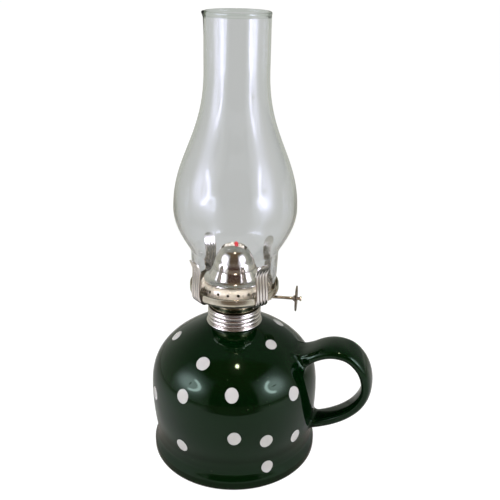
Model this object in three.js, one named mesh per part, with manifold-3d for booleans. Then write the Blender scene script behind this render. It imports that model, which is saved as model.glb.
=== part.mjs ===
// Kerosene hand lamp: a glazed ceramic font with a loop handle, a threaded collar,
// a flat-wick burner with a thumb wheel, and a glass chimney held by four prongs.
// Millimetres, +Z up. Z is the lamp's axis, the table is at Z = 0 and the handle points along +X.

import * as THREE from "three";
import { mergeVertices } from "three/addons/utils/BufferGeometryUtils.js";
import Module from "manifold-3d";

const wasm = await Module();
wasm.setup();

// Clearances between pieces, and how far a cut runs past what it cuts
const seatGap = 0.35;
const runGap = 0.4;
const cutOverrun = 3;

// Fineness: segments round a revolved form and steps along a curve
const roundSegments = { font: 32, glass: 32, metal: 24, inner: 24, small: 12, hole: 6 };
const curveSteps = {
  shoulder: 7,
  wall: 2,
  foot: 3,
  edge: 2,
  corner: 3,
  cove: 4,
  bulge: 5,
  neck: 6,
  bead: 5,
  handle: 18,
  tube: 4,
  slot: 2,
  wickEdge: 3,
};

const font = {
  footR: 61.6,
  footEdge: 3.7,
  footFlareZ: 7.4,
  waistR: 59.1,
  waistZ: 22.2,
  bellyR: 61.7,
  bellyZ: 52,
  bellyRise: 20.5,
  shoulderR: 20,
  shoulderZ: 106,
  shoulderReach: 40,
  shoulderFall: 20,
  wall: 4.6,
  floor: 6,
  floorFillet: 9,
  neckR: 16.4,
  neckBoreR: 12.6,
  neckHeight: 3.6,
};

// The strap's centre line: out from the line between its two roots on the skin, and up from
// the lower root
const handle = {
  reach: 37.3,
  lowZ: 29,
  rise: 63.9,
  width: 26,
  thickness: 8,
  // [outward, upward, width, thickness] at each station, from the upper root to the lower one
  stationShares: [
    [-0.0871, 0.845, 1.1, 1.5],
    [0.1251, 0.9, 1.04, 1.2],
    [0.3495, 0.965, 1.0, 1.02],
    [0.6822, 1, 1.0, 1.0],
    [1.0165, 0.92, 0.98, 1.0],
    [1.1884, 0.689, 0.9, 1.0],
    [1.1151, 0.462, 0.8, 1.0],
    [0.8115, 0.238, 0.72, 1.0],
    [0.3713, 0.088, 0.68, 1.0],
    [0.1125, 0.03, 0.72, 1.2],
    [-0.0812, 0, 0.86, 1.6],
  ],
};
// A flattened oval section: a higher power makes it squarer
const handleSection = { halfPoints: 6, power: 2.6 };

const collar = {
  height: 12.4,
  boreR: 18.2,
  ridgeR: 19.75,
  grooveR: 18.95,
  ridges: 3,
  flangeR: 20.7,
  flangeHeight: 1.5,
  rimHeight: 1.2,
  rimRound: 0.4,
};

// Heights of the burner's pieces are counted from the collar's top edge
const shell = { wall: 0.7, depth: 8.4, lip: 1.5, lipThickness: 0.7 };
const baffle = { thickness: 0.9, ventR: 1.3, ventY: -9.5 };
const cup = { sheet: 0.7, footR: 18.1, boreR: 15.4, topR: 24.6, height: 9.4 };
// Shares of the cove's height and of its reach where its tangents end
const coveShares = { rise: 0.62, start: 0.28, end: 0.3 };
const gallery = { sheet: 0.8, boreR: 22, floorR: 27.2, beltR: 31.45, rimR: 31.7, beltRise: 3.9, height: 7.7 };
// Tangents of the corner, how far the wall draws in above the belt, and where it is narrowest
const galleryShares = { cornerReach: 0.62, cornerRise: 0.5, drawIn: 0.4, narrowest: 0.7 };
const galleryVents = { count: 3, r: 1.1, ringR: 26.2, spread: THREE.MathUtils.degToRad(20) };
const screen = { sheet: 0.6, footR: 24.9, holeRingR: 23.5, topR: 20.6, boreR: 11.6, rise: 7.6 };
const screenHoles = { count: 21, r: 0.9, phaseShare: 0.68, riseShare: 0.6 };
const screenFlangeRise = 3.1;
// Heights of the cone's two bends, as shares of its rise
const screenBends = { low: 0.27, high: 0.86 };
const tube = { width: 18.6, depth: 5.2, wall: 0.6, corner: 2.2, top: 39.8 };
const wick = { width: 16, thickness: 3, top: 47.6, tail: 96, trim: 2.4 };
const shaft = { r: 1.15, offsetY: 5.6, z: 5.1, reach: 44.4, tip: 2.6, tipR: 1.9, tipLength: 1.1 };
const spur = { count: 3, r: 3.7, rootR: 2.7, teeth: 10, thickness: 1, pitch: 5.2, toothShare: 0.55 };
const sprocketBox = { halfWidth: 9, sheet: 0.6, halfHeight: 4.7 };
const ferrule = { wall: 0.7, start: 21.2, length: 5.2 };
const wheel = { r: 9.2, thickness: 1.1, lobes: 14, lobeDepth: 0.7, hubR: 2.6, hubLength: 2.4 };
const wheelPiercing = { inner: 7, innerR: 1.3, innerRingR: 4.3, outerR: 0.75, outerRingR: 7.1 };
const wheelHubTip = 1.5;
const pointsPerLobe = 3;
const burnerTurn = THREE.MathUtils.degToRad(6);

const dome = {
  sheet: 0.6,
  lipR: 21.3,
  lipZ: 22.3,
  top: 46.7,
  slotLength: 17.8,
  slotWidth: 5.4,
  slotCornerShare: 0.3,
  creaseStep: 0.3,
  // [outward, upward] shares of the lip's radius and of the height above the lip
  flankShares: [
    [0.985, 0.025],
    [0.9, 0.05],
    [0.826, 0.105],
    [0.795, 0.15],
    [0.722, 0.345],
  ],
  crownShares: [
    [0.708, 0.365],
    [0.64, 0.575],
    [0.568, 0.69],
    [0.498, 0.806],
    [0.418, 0.893],
    [0.258, 0.971],
    [0.1, 0.997],
  ],
};

const prong = {
  sheet: 0.6,
  halfWidth: 5.5,
  tongueHalfWidth: 3.8,
  flutes: 4,
  fluteDepth: 0.7,
  slotR: 25.95,
  slotDepth: 2,
  touchZ: 34.1,
  tipZ: 42.2,
  tipCurl: 2,
  count: 4,
};
// The tongue's end, its lean on the cone, its bend under the floor and the curl of the tip
const prongShares = {
  tongueEnd: 0.6,
  tongueLean: 1.1,
  footLean: 0.8,
  footRise: 0.25,
  underBend: 0.35,
  curl: [0.1, 0.45, 1],
  tipWidth: [1, 0.92, 0.5],
};

const glass = {
  wall: 1.8,
  footR: 28.9,
  fitterR: 30.6,
  shoulderRise: 29.8,
  bulgeR: 42.4,
  bulgeRise: 60.3,
  throatR: 21.3,
  throatRise: 152.3,
  height: 186.9,
  rimBead: 1.2,
  // How far the bead wraps past a half round on each side
  beadWrap: Math.PI / 6,
  footSpread: 1.5,
  footStraightRise: 13.3,
  // Tangent lengths of the bulge's lower and upper curves
  shoulderLean: 2.9,
  shoulderTangent: 6.5,
  bulgeTangentLow: 13,
  bulgeTangentHigh: 36,
  throatTangent: 43,
};

const nickel = () => new THREE.MeshStandardMaterial({ color: 0xcfcbc0, metalness: 1, roughness: 0.2 });
const brass = () => new THREE.MeshStandardMaterial({ color: 0xb08d57, metalness: 1, roughness: 0.3 });
const glaze = () => new THREE.MeshStandardMaterial({ color: 0x12291a, metalness: 0, roughness: 0.12 });
const plaster = () => new THREE.MeshStandardMaterial({ color: 0xd8d2c4, metalness: 0, roughness: 0.9 });
const cotton = () => new THREE.MeshStandardMaterial({ color: 0xf1ece0, metalness: 0, roughness: 0.95 });
const clearGlass = () =>
  new THREE.MeshStandardMaterial({
    color: 0xf3f7f5,
    metalness: 0,
    roughness: 0.03,
    transparent: true,
    opacity: 0.3,
  });

// Shared geometry tools

const at = (r, z) => new THREE.Vector2(r, z);
const bezier3 = (a, b, c, d, steps) => new THREE.CubicBezierCurve(a, b, c, d).getPoints(steps);
const bezier2 = (a, b, c, steps) => new THREE.QuadraticBezierCurve(a, b, c).getPoints(steps);

function arc(centre, radius, fromAngle, toAngle, steps) {
  return Array.from({ length: steps + 1 }, (_, i) => {
    const angle = fromAngle + ((toAngle - fromAngle) * i) / steps;
    return at(centre.x + radius * Math.cos(angle), centre.y + radius * Math.sin(angle));
  });
}

function withoutRepeats(points) {
  return points.filter((p, i) => i === 0 || p.distanceTo(points[i - 1]) > 1e-6);
}

// Unit normals of an open outline, on the left of its direction of travel
function leftNormals(points) {
  return points.map((_, i) => {
    const before = points[Math.max(i - 1, 0)];
    const after = points[Math.min(i + 1, points.length - 1)];
    const along = after.clone().sub(before).normalize();
    return at(-along.y, along.x);
  });
}

function offsetOutline(points, distance) {
  const normals = leftNormals(points);
  return points.map((p, i) => p.clone().addScaledVector(normals[i], distance));
}

// The closed section of a sheet that follows an open outline
function sheetSection(points, thickness) {
  const clean = withoutRepeats(points);
  const left = offsetOutline(clean, thickness / 2);
  const right = offsetOutline(clean, -thickness / 2);
  return [...right, ...left.reverse(), right[0].clone()];
}

function signedVolume(positions, index) {
  const corner = (i) => new THREE.Vector3().fromBufferAttribute(positions, index.getX(i));
  let volume = 0;
  for (let i = 0; i < index.count; i += 3) {
    volume += corner(i).dot(corner(i + 1).cross(corner(i + 2)));
  }
  return volume;
}

// Merges shared vertices, drops triangles of no area and turns the faces outward
function weld(source) {
  const bare = new THREE.BufferGeometry();
  bare.setAttribute("position", source.getAttribute("position").clone());
  if (source.index) bare.setIndex(source.index.clone());
  const merged = mergeVertices(bare, 1e-5);
  const triangles = [];
  for (let i = 0; i < merged.index.count; i += 3) {
    const [a, b, c] = [0, 1, 2].map((k) => merged.index.getX(i + k));
    if (a !== b && b !== c && c !== a) triangles.push([a, b, c]);
  }
  merged.setIndex(triangles.flat());
  if (signedVolume(merged.getAttribute("position"), merged.index) < 0) {
    merged.setIndex(triangles.map(([a, b, c]) => [a, c, b]).flat());
  }
  return merged;
}

function toSolid(geometry) {
  const welded = weld(geometry);
  return new wasm.Manifold(
    new wasm.Mesh({
      numProp: 3,
      vertProperties: new Float32Array(welded.getAttribute("position").array),
      triVerts: new Uint32Array(welded.index.array),
    }),
  );
}

function toGeometry(solid) {
  const mesh = solid.getMesh();
  const geometry = new THREE.BufferGeometry();
  geometry.setAttribute("position", new THREE.BufferAttribute(mesh.vertProperties, 3));
  geometry.setIndex(new THREE.BufferAttribute(mesh.triVerts, 1));
  return geometry;
}

const subtractAll = (geometry, cutters) =>
  toGeometry(cutters.reduce((solid, cutter) => solid.subtract(toSolid(cutter)), toSolid(geometry)));

const join = (a, b) => toGeometry(toSolid(a).add(toSolid(b)));

// An outline of (radius, height) points turned round Z
function revolve(outline, segments) {
  const geometry = new THREE.LatheGeometry(withoutRepeats(outline), segments);
  geometry.rotateX(Math.PI / 2);
  return weld(geometry);
}

// A solid through rings of equal count; point i of a ring faces point count - 1 - i
function loft(rings) {
  const count = rings[0].length;
  const triangles = [];
  const quad = (a, b, c, d) => triangles.push(a, b, c, a, c, d);
  for (let ring = 0; ring < rings.length - 1; ring += 1) {
    for (let i = 0; i < count; i += 1) {
      const next = (i + 1) % count;
      const here = ring * count;
      quad(here + i, here + next, here + count + next, here + count + i);
    }
  }
  const last = (rings.length - 1) * count;
  for (let i = 0; i < count / 2 - 1; i += 1) {
    quad(i, count - 1 - i, count - 2 - i, i + 1);
    quad(last + i, last + i + 1, last + count - 2 - i, last + count - 1 - i);
  }
  const geometry = new THREE.BufferGeometry().setFromPoints(rings.flat());
  geometry.setIndex(triangles);
  return weld(geometry);
}

function roundedRectangle(width, depth, corner) {
  const shape = new THREE.Shape();
  const x = width / 2;
  const y = depth / 2;
  shape.moveTo(x - corner, -y);
  shape.absarc(x - corner, corner - y, corner, -Math.PI / 2, 0);
  shape.absarc(x - corner, y - corner, corner, 0, Math.PI / 2);
  shape.absarc(corner - x, y - corner, corner, Math.PI / 2, Math.PI);
  shape.absarc(corner - x, corner - y, corner, Math.PI, Math.PI * 1.5);
  return shape;
}

function prism(shape, fromZ, toZ, curveSegments) {
  const options = { depth: toZ - fromZ, bevelEnabled: false, curveSegments };
  const geometry = new THREE.ExtrudeGeometry(shape, options);
  geometry.translate(0, 0, fromZ);
  return geometry;
}

// A shape drawn in (y, z) and given a thickness along X, centred on x
function plateAcrossX(shape, thickness, x, curveSegments) {
  const geometry = new THREE.ExtrudeGeometry(shape, { depth: thickness, bevelEnabled: false, curveSegments });
  geometry.translate(0, 0, -thickness / 2);
  geometry.rotateX(Math.PI / 2);
  geometry.rotateZ(Math.PI / 2);
  geometry.translate(x, 0, 0);
  return geometry;
}

function box(fromX, toX, fromY, toY, fromZ, toZ) {
  const geometry = new THREE.BoxGeometry(toX - fromX, toY - fromY, toZ - fromZ);
  geometry.translate((fromX + toX) / 2, (fromY + toY) / 2, (fromZ + toZ) / 2);
  return geometry;
}

function rodAlongX(radius, fromX, toX, y, z, segments) {
  const geometry = new THREE.CylinderGeometry(radius, radius, toX - fromX, segments);
  geometry.rotateZ(Math.PI / 2);
  geometry.translate((fromX + toX) / 2, y, z);
  return geometry;
}

// Ceramic font and its handle, cast and fired as one piece

function fontSkin() {
  const edge = at(font.footR - font.footEdge, font.footEdge);
  const foot = arc(edge, font.footEdge, -Math.PI / 2, 0, curveSteps.edge);
  const flare = bezier2(
    at(font.footR, font.footFlareZ),
    at(font.waistR, (font.footFlareZ + font.waistZ) / 2),
    at(font.waistR, font.waistZ),
    curveSteps.foot,
  );
  const side = bezier2(
    at(font.waistR, font.waistZ),
    at(font.bellyR, (font.waistZ + font.bellyZ) / 2),
    at(font.bellyR, font.bellyZ),
    curveSteps.wall,
  );
  const shoulder = bezier3(
    at(font.bellyR, font.bellyZ),
    at(font.bellyR, font.bellyZ + font.bellyRise),
    at(font.shoulderR + font.shoulderReach, font.shoulderZ - font.shoulderFall),
    at(font.shoulderR, font.shoulderZ),
    curveSteps.shoulder,
  );
  return { foot, flare, side, shoulder };
}

function fontCavity() {
  const { side, shoulder } = fontSkin();
  const inner = offsetOutline(withoutRepeats([...side, ...shoulder]), font.wall);
  const wallR = font.waistR - font.wall;
  const corner = arc(
    at(wallR - font.floorFillet, font.floor + font.floorFillet),
    font.floorFillet,
    -Math.PI / 2,
    0,
    curveSteps.edge,
  );
  const top = font.shoulderZ + font.neckHeight + cutOverrun;
  return revolve(
    [
      at(0, font.floor),
      ...corner,
      ...inner,
      at(font.neckBoreR, inner.at(-1).y),
      at(font.neckBoreR, top),
      at(0, top),
    ],
    roundSegments.font,
  );
}

// The skin's radius at a height above its waist or on its flare
function skinRadiusAt(z) {
  const { flare, side, shoulder } = fontSkin();
  const outline = withoutRepeats([...flare, ...side, ...shoulder]);
  const next = outline.findIndex((p) => p.y >= z);
  const [low, high] = [outline[next - 1], outline[next]];
  return THREE.MathUtils.mapLinear(z, low.y, high.y, low.x, high.x);
}

function handleCentreLine() {
  const upperRoot = handle.stationShares[0][1];
  const lowR = skinRadiusAt(handle.lowZ);
  const highR = skinRadiusAt(handle.lowZ + upperRoot * handle.rise);
  const places = handle.stationShares.map(([out, up]) => {
    const rootLineR = THREE.MathUtils.mapLinear(up, 0, upperRoot, lowR, highR);
    return new THREE.Vector3(rootLineR + out * handle.reach, 0, handle.lowZ + up * handle.rise);
  });
  return new THREE.CatmullRomCurve3(places, false, "centripetal");
}

function handleStrap() {
  const curve = handleCentreLine();
  const lastStation = handle.stationShares.length - 1;
  const stationShare = (t, column) => {
    const position = t * lastStation;
    const index = Math.min(Math.floor(position), lastStation - 1);
    const from = handle.stationShares[index][column];
    const to = handle.stationShares[index + 1][column];
    return THREE.MathUtils.lerp(from, to, position - index);
  };
  const across = new THREE.Vector3(0, 1, 0);
  const { halfPoints, power } = handleSection;
  const rounded = (value) => Math.sign(value) * Math.abs(value) ** (2 / power);
  const rings = Array.from({ length: curveSteps.handle + 1 }, (_, step) => {
    const t = step / curveSteps.handle;
    const centre = curve.getPoint(t);
    const normal = curve.getTangent(t).cross(across);
    const halfWidth = (handle.width / 2) * stationShare(t, 2);
    const halfThickness = (handle.thickness / 2) * stationShare(t, 3);
    return Array.from({ length: halfPoints * 2 }, (_, i) => {
      const angle = (Math.PI * (i + 0.5)) / halfPoints;
      return centre
        .clone()
        .addScaledVector(across, halfWidth * rounded(Math.cos(angle)))
        .addScaledVector(normal, halfThickness * rounded(Math.sin(angle)));
    });
  });
  return loft(rings);
}

function fontBody() {
  const { foot, flare, side, shoulder } = fontSkin();
  const neckTop = font.shoulderZ + font.neckHeight;
  const neck = [at(font.neckR, font.shoulderZ), at(font.neckR, neckTop), at(0, neckTop)];
  const skin = revolve([at(0, 0), ...foot, ...flare, ...side, ...shoulder, ...neck], roundSegments.font);
  return subtractAll(join(skin, handleStrap()), [fontCavity()]);
}

// Collar: rolled ridges outside, a plain bore that takes the burner's screw shell

const collarBase = font.shoulderZ + seatGap;
const collarTop = collarBase + collar.height;

function collarRing() {
  const ridgeStart = collarBase + collar.flangeHeight;
  const ridgeEnd = collarTop - collar.rimHeight;
  const pitch = (ridgeEnd - ridgeStart) / collar.ridges;
  const middleR = (collar.ridgeR + collar.grooveR) / 2;
  const ridges = Array.from({ length: collar.ridges }, (_, i) => {
    const start = ridgeStart + i * pitch;
    return [
      at(collar.grooveR, start),
      at(middleR, start + pitch / 4),
      at(collar.ridgeR, start + pitch / 2),
      at(middleR, start + (pitch * 3) / 4),
    ];
  }).flat();
  return revolve(
    [
      at(collar.boreR, collarBase),
      at(collar.flangeR - collar.rimRound, collarBase),
      at(collar.flangeR, collarBase + collar.rimRound),
      at(collar.flangeR - collar.rimRound, collarBase + collar.flangeHeight - collar.rimRound),
      ...ridges,
      at(collar.grooveR, ridgeEnd),
      at(collar.ridgeR - collar.rimRound, ridgeEnd + collar.rimRound),
      at(collar.grooveR, collarTop),
      at(collar.boreR + collar.rimRound / 2, collarTop),
      at(collar.boreR, collarTop - collar.rimRound),
      at(collar.boreR, collarBase),
    ],
    roundSegments.metal,
  );
}

function cementRing() {
  const top = font.shoulderZ + font.neckHeight;
  const innerR = font.neckR + seatGap;
  const outerR = collar.boreR - seatGap;
  const base = collarBase;
  return revolve(
    [at(innerR, base), at(outerR, base), at(outerR, top), at(innerR, top), at(innerR, base)],
    roundSegments.inner,
  );
}

// Burner pieces, in the burner's own frame: Z = 0 at the collar's top, the thumb wheel along +X

const shellR = collar.boreR - runGap;
const shellBase = -shell.depth;
const baffleBase = shellBase + shell.lipThickness + seatGap;
const cupFootZ = seatGap + cup.sheet / 2;
const galleryFloorZ = cup.height + cup.sheet / 2 + seatGap + gallery.sheet / 2;
const galleryBeltZ = galleryFloorZ + gallery.beltRise;
const galleryRimZ = galleryFloorZ + gallery.height;
const galleryWallR = gallery.beltR - gallery.sheet * galleryShares.drawIn;
const screenFlangeZ = galleryFloorZ + screenFlangeRise;
const screenTopZ = screenFlangeZ + screen.rise;
const screenHoleZ = screenFlangeZ + screen.rise * screenHoles.riseShare;
const glassFootZ = screenFlangeZ + screen.sheet / 2 + seatGap;

function screwShell() {
  const innerR = shellR - shell.wall;
  const lipR = innerR - shell.lip;
  return revolve(
    [
      at(lipR, shellBase),
      at(shellR, shellBase),
      at(shellR, 0),
      at(innerR, 0),
      at(innerR, shellBase + shell.lipThickness),
      at(lipR, shellBase + shell.lipThickness),
      at(lipR, shellBase),
    ],
    roundSegments.inner,
  );
}

function baffleDisc() {
  const radius = shellR - shell.wall - seatGap;
  const top = baffleBase + baffle.thickness;
  const disc = revolve(
    [at(0, baffleBase), at(radius, baffleBase), at(radius, top), at(0, top)],
    roundSegments.inner,
  );
  const slot = prism(
    roundedRectangle(tube.width + seatGap * 2, tube.depth + seatGap * 2, tube.corner),
    baffleBase - cutOverrun,
    top + cutOverrun,
    curveSteps.slot,
  );
  const vent = prism(
    new THREE.Shape().absarc(0, 0, baffle.ventR, 0, Math.PI * 2),
    baffleBase - cutOverrun,
    top + cutOverrun,
    curveSteps.slot,
  );
  vent.translate(0, baffle.ventY, 0);
  return subtractAll(disc, [slot, vent]);
}

function burnerCup() {
  const topZ = cup.height;
  const height = topZ - cupFootZ;
  const reach = cup.topR - cup.footR;
  const cove = bezier3(
    at(cup.footR, cupFootZ),
    at(cup.footR, cupFootZ + height * coveShares.rise),
    at(cup.footR + reach * coveShares.start, topZ),
    at(cup.topR - reach * coveShares.end, topZ),
    curveSteps.cove,
  );
  const wall = revolve(
    sheetSection([at(cup.boreR, cupFootZ), ...cove, at(cup.topR, topZ)], cup.sheet),
    roundSegments.inner,
  );
  const bore = rodAlongX(shaft.r + runGap, 0, cup.topR, shaft.offsetY, shaft.z, roundSegments.hole);
  return subtractAll(wall, [bore]);
}

// Slots at the prongs' places, and rings of round holes
function prongSlots(fromZ, toZ) {
  const width = (prong.tongueHalfWidth + runGap) * 2;
  return Array.from({ length: prong.count }, (_, i) => {
    const slot = box(
      prong.slotR - prong.slotDepth / 2,
      prong.slotR + prong.slotDepth / 2,
      -width / 2,
      width / 2,
      fromZ,
      toZ,
    );
    slot.rotateZ(prongAngle(i));
    return slot;
  });
}

const prongAngle = (i) => (Math.PI * 2 * (i + 0.5)) / prong.count;

// Round cutters at the given angles; tilt 0 is radial, a quarter turn is upright
function holeRing(angles, holeR, ringR, z, tilt, length) {
  return angles.map((angle) => {
    const hole = new THREE.CylinderGeometry(holeR, holeR, length, roundSegments.hole);
    hole.rotateZ(-Math.PI / 2);
    hole.rotateY(-tilt);
    hole.translate(ringR, 0, z);
    hole.rotateZ(angle);
    return hole;
  });
}

function galleryCorner() {
  const reach = gallery.beltR - gallery.floorR;
  return bezier3(
    at(gallery.floorR, galleryFloorZ),
    at(gallery.floorR + reach * galleryShares.cornerReach, galleryFloorZ),
    at(gallery.beltR, galleryFloorZ + gallery.beltRise * galleryShares.cornerRise),
    at(gallery.beltR, galleryBeltZ),
    curveSteps.corner,
  );
}

function galleryPan() {
  const narrowestZ = galleryBeltZ + (galleryRimZ - galleryBeltZ) * galleryShares.narrowest;
  const pan = revolve(
    sheetSection(
      [
        at(gallery.boreR, galleryFloorZ),
        ...galleryCorner(),
        at(galleryWallR, narrowestZ),
        at(gallery.rimR, galleryRimZ - gallery.sheet / 2),
      ],
      gallery.sheet,
    ),
    roundSegments.metal,
  );
  const ventAngles = Array.from({ length: prong.count * galleryVents.count }, (_, i) => {
    const quarter = Math.floor(i / galleryVents.count);
    const place = (i % galleryVents.count) - (galleryVents.count - 1) / 2;
    return (Math.PI * 2 * quarter) / prong.count + place * galleryVents.spread;
  });
  const vents = holeRing(
    ventAngles,
    galleryVents.r,
    galleryVents.ringR,
    galleryFloorZ,
    Math.PI / 2,
    gallery.sheet * cutOverrun,
  );
  return subtractAll(pan, [...prongSlots(galleryFloorZ - cutOverrun / 2, galleryBeltZ), ...vents]);
}

function airScreen() {
  const flangeR = galleryWallR - gallery.sheet / 2 - seatGap;
  const cone = [
    at(screen.footR, screenFlangeZ),
    at((screen.footR + screen.holeRingR) / 2, screenFlangeZ + screen.rise * screenBends.low),
    at(screen.holeRingR, screenHoleZ),
    at((screen.holeRingR * 2 + screen.topR) / 3, screenFlangeZ + screen.rise * screenBends.high),
    at(screen.topR, screenTopZ),
  ];
  const plate = revolve(
    sheetSection([at(flangeR, screenFlangeZ), ...cone, at(screen.boreR, screenTopZ)], screen.sheet),
    roundSegments.metal,
  );
  const lean = Math.atan2(screen.footR - screen.topR, screen.rise);
  const pitch = (Math.PI * 2) / screenHoles.count;
  const angles = Array.from({ length: screenHoles.count }, (_, i) => (i + screenHoles.phaseShare) * pitch);
  const holes = holeRing(angles, screenHoles.r, screen.holeRingR, screenHoleZ, lean, cutOverrun);
  const slotTop = screenFlangeZ + screen.sheet * 2;
  return subtractAll(plate, [...prongSlots(screenFlangeZ - cutOverrun / 2, slotTop), ...holes]);
}

// Each prong starts as a tongue folded against the screen's cone, drops through the slots,
// turns out under the gallery and rises outside it to press on the glass
function prongStrip() {
  const clear = prong.sheet / 2 + runGap;
  const fluteClear = clear + prong.fluteDepth / 2;
  const coneOut = screen.sheet / 2 + clear;
  const underZ = galleryFloorZ - gallery.sheet / 2 - clear;
  const rimOut = gallery.rimR + gallery.sheet / 2 + fluteClear;
  const glassOut = glass.fitterR + fluteClear;
  const bend = offsetOutline(galleryCorner(), -gallery.sheet / 2 - fluteClear);
  const slotToFloor = gallery.floorR - prong.slotR;
  const { tongueEnd, tongueLean, footLean, footRise, underBend, curl, tipWidth } = prongShares;
  const tongue = prong.tongueHalfWidth;
  // [radius, height, half width, flute depth]
  const stations = [
    [screen.holeRingR + coneOut, screenHoleZ + coneOut, tongue * tongueEnd, 0],
    [screen.holeRingR + coneOut * tongueLean, screenHoleZ, tongue, 0],
    [screen.footR + coneOut * footLean, screenFlangeZ + screen.rise * footRise, tongue, 0],
    [prong.slotR, screenFlangeZ + screen.sheet, tongue, 0],
    [prong.slotR, underZ, tongue, 0],
    [prong.slotR + slotToFloor * underBend, underZ - prong.sheet, tongue, 0],
    ...bend.map((p) => [p.x, p.y, prong.halfWidth, prong.fluteDepth]),
    [rimOut, galleryRimZ, prong.halfWidth, prong.fluteDepth],
    [(rimOut + glassOut) / 2, (galleryRimZ + prong.touchZ) / 2, prong.halfWidth, prong.fluteDepth],
    [glassOut, prong.touchZ, prong.halfWidth, prong.fluteDepth],
    ...curl.map((share, i) => [
      glassOut + prong.tipCurl * share,
      THREE.MathUtils.lerp(prong.touchZ, prong.tipZ, (i + 1) / curl.length),
      prong.halfWidth * tipWidth[i],
      0,
    ]),
  ];
  const normals = leftNormals(stations.map(([r, z]) => at(r, z)));
  const points = prong.flutes * 2 + 1;
  const rings = stations.map(([r, z, halfWidth, depth], station) => {
    const side = (offset) =>
      Array.from({ length: points }, (_, i) => {
        const across = halfWidth * ((2 * i) / (points - 1) - 1);
        const flute = ((i % 2) - 0.5) * depth;
        const p = at(r, z).addScaledVector(normals[station], offset + flute);
        return new THREE.Vector3(p.x, across, p.y);
      });
    return [...side(prong.sheet / 2), ...side(-prong.sheet / 2).reverse()];
  });
  return loft(rings);
}

function wickTube() {
  const base = baffleBase - baffle.thickness;
  const outer = prism(roundedRectangle(tube.width, tube.depth, tube.corner), base, tube.top, curveSteps.tube);
  const innerShape = roundedRectangle(
    tube.width - tube.wall * 2,
    tube.depth - tube.wall * 2,
    tube.corner - tube.wall,
  );
  const inner = prism(innerShape, base - cutOverrun, tube.top + cutOverrun, curveSteps.tube);
  const windowHalfHeight = spur.r + seatGap;
  const windows = spurPlaces().map((x) =>
    box(
      x - spur.thickness,
      x + spur.thickness,
      0,
      tube.depth,
      shaft.z - windowHalfHeight,
      shaft.z + windowHalfHeight,
    ),
  );
  return subtractAll(outer, [inner, ...windows]);
}

function spurPlaces() {
  return Array.from({ length: spur.count }, (_, i) => (i - (spur.count - 1) / 2) * spur.pitch);
}

// A folded housing behind the wick tube: it carries the shaft and keeps the vapour in
function sprocketHousing() {
  const frontY = tube.depth / 2 + seatGap;
  const innerBackY = shaft.offsetY + spur.r + runGap;
  const { halfWidth, halfHeight, sheet } = sprocketBox;
  const block = box(
    -halfWidth,
    halfWidth,
    frontY,
    innerBackY + sheet,
    shaft.z - halfHeight,
    shaft.z + halfHeight,
  );
  const hollow = box(
    sheet - halfWidth,
    halfWidth - sheet,
    frontY - cutOverrun,
    innerBackY,
    shaft.z - halfHeight + sheet,
    shaft.z + halfHeight - sheet,
  );
  const bore = rodAlongX(
    shaft.r + seatGap,
    -halfWidth - cutOverrun,
    halfWidth + cutOverrun,
    shaft.offsetY,
    shaft.z,
    roundSegments.small,
  );
  return subtractAll(block, [hollow, bore]);
}

function shaftFerrule() {
  const outerR = shaft.r + runGap + ferrule.wall;
  const sleeve = rodAlongX(
    outerR,
    ferrule.start,
    ferrule.start + ferrule.length,
    shaft.offsetY,
    shaft.z,
    roundSegments.small,
  );
  const bore = rodAlongX(
    shaft.r + runGap,
    ferrule.start - cutOverrun,
    ferrule.start + ferrule.length + cutOverrun,
    shaft.offsetY,
    shaft.z,
    roundSegments.small,
  );
  return subtractAll(sleeve, [bore]);
}

// Shaft, spur wheels and thumb wheel, turning together round the shaft's axis

function shaftRod() {
  const start = -sprocketBox.halfWidth - sprocketBox.sheet;
  const end = shaft.reach + shaft.tip;
  const outline = [
    at(0, start),
    at(shaft.r, start),
    at(shaft.r, end),
    at(shaft.tipR, end + shaft.tipLength / 3),
    at(shaft.tipR, end + shaft.tipLength),
    at(0, end + shaft.tipLength),
  ];
  const rod = revolve(outline, roundSegments.small);
  rod.rotateY(Math.PI / 2);
  return rod;
}

function spurWheel() {
  const shape = new THREE.Shape();
  const step = Math.PI / spur.teeth;
  for (let i = 0; i < spur.teeth; i += 1) {
    const angle = i * step * 2;
    const place = (r, a) => [r * Math.cos(a), r * Math.sin(a)];
    shape[i === 0 ? "moveTo" : "lineTo"](...place(spur.rootR, angle - step * spur.toothShare));
    shape.lineTo(...place(spur.r, angle));
    shape.lineTo(...place(spur.rootR, angle + step * spur.toothShare));
  }
  shape.closePath();
  shape.holes.push(new THREE.Path().absarc(0, 0, shaft.r + seatGap, 0, Math.PI * 2));
  return plateAcrossX(shape, spur.thickness, 0, roundSegments.small / 2);
}

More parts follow.
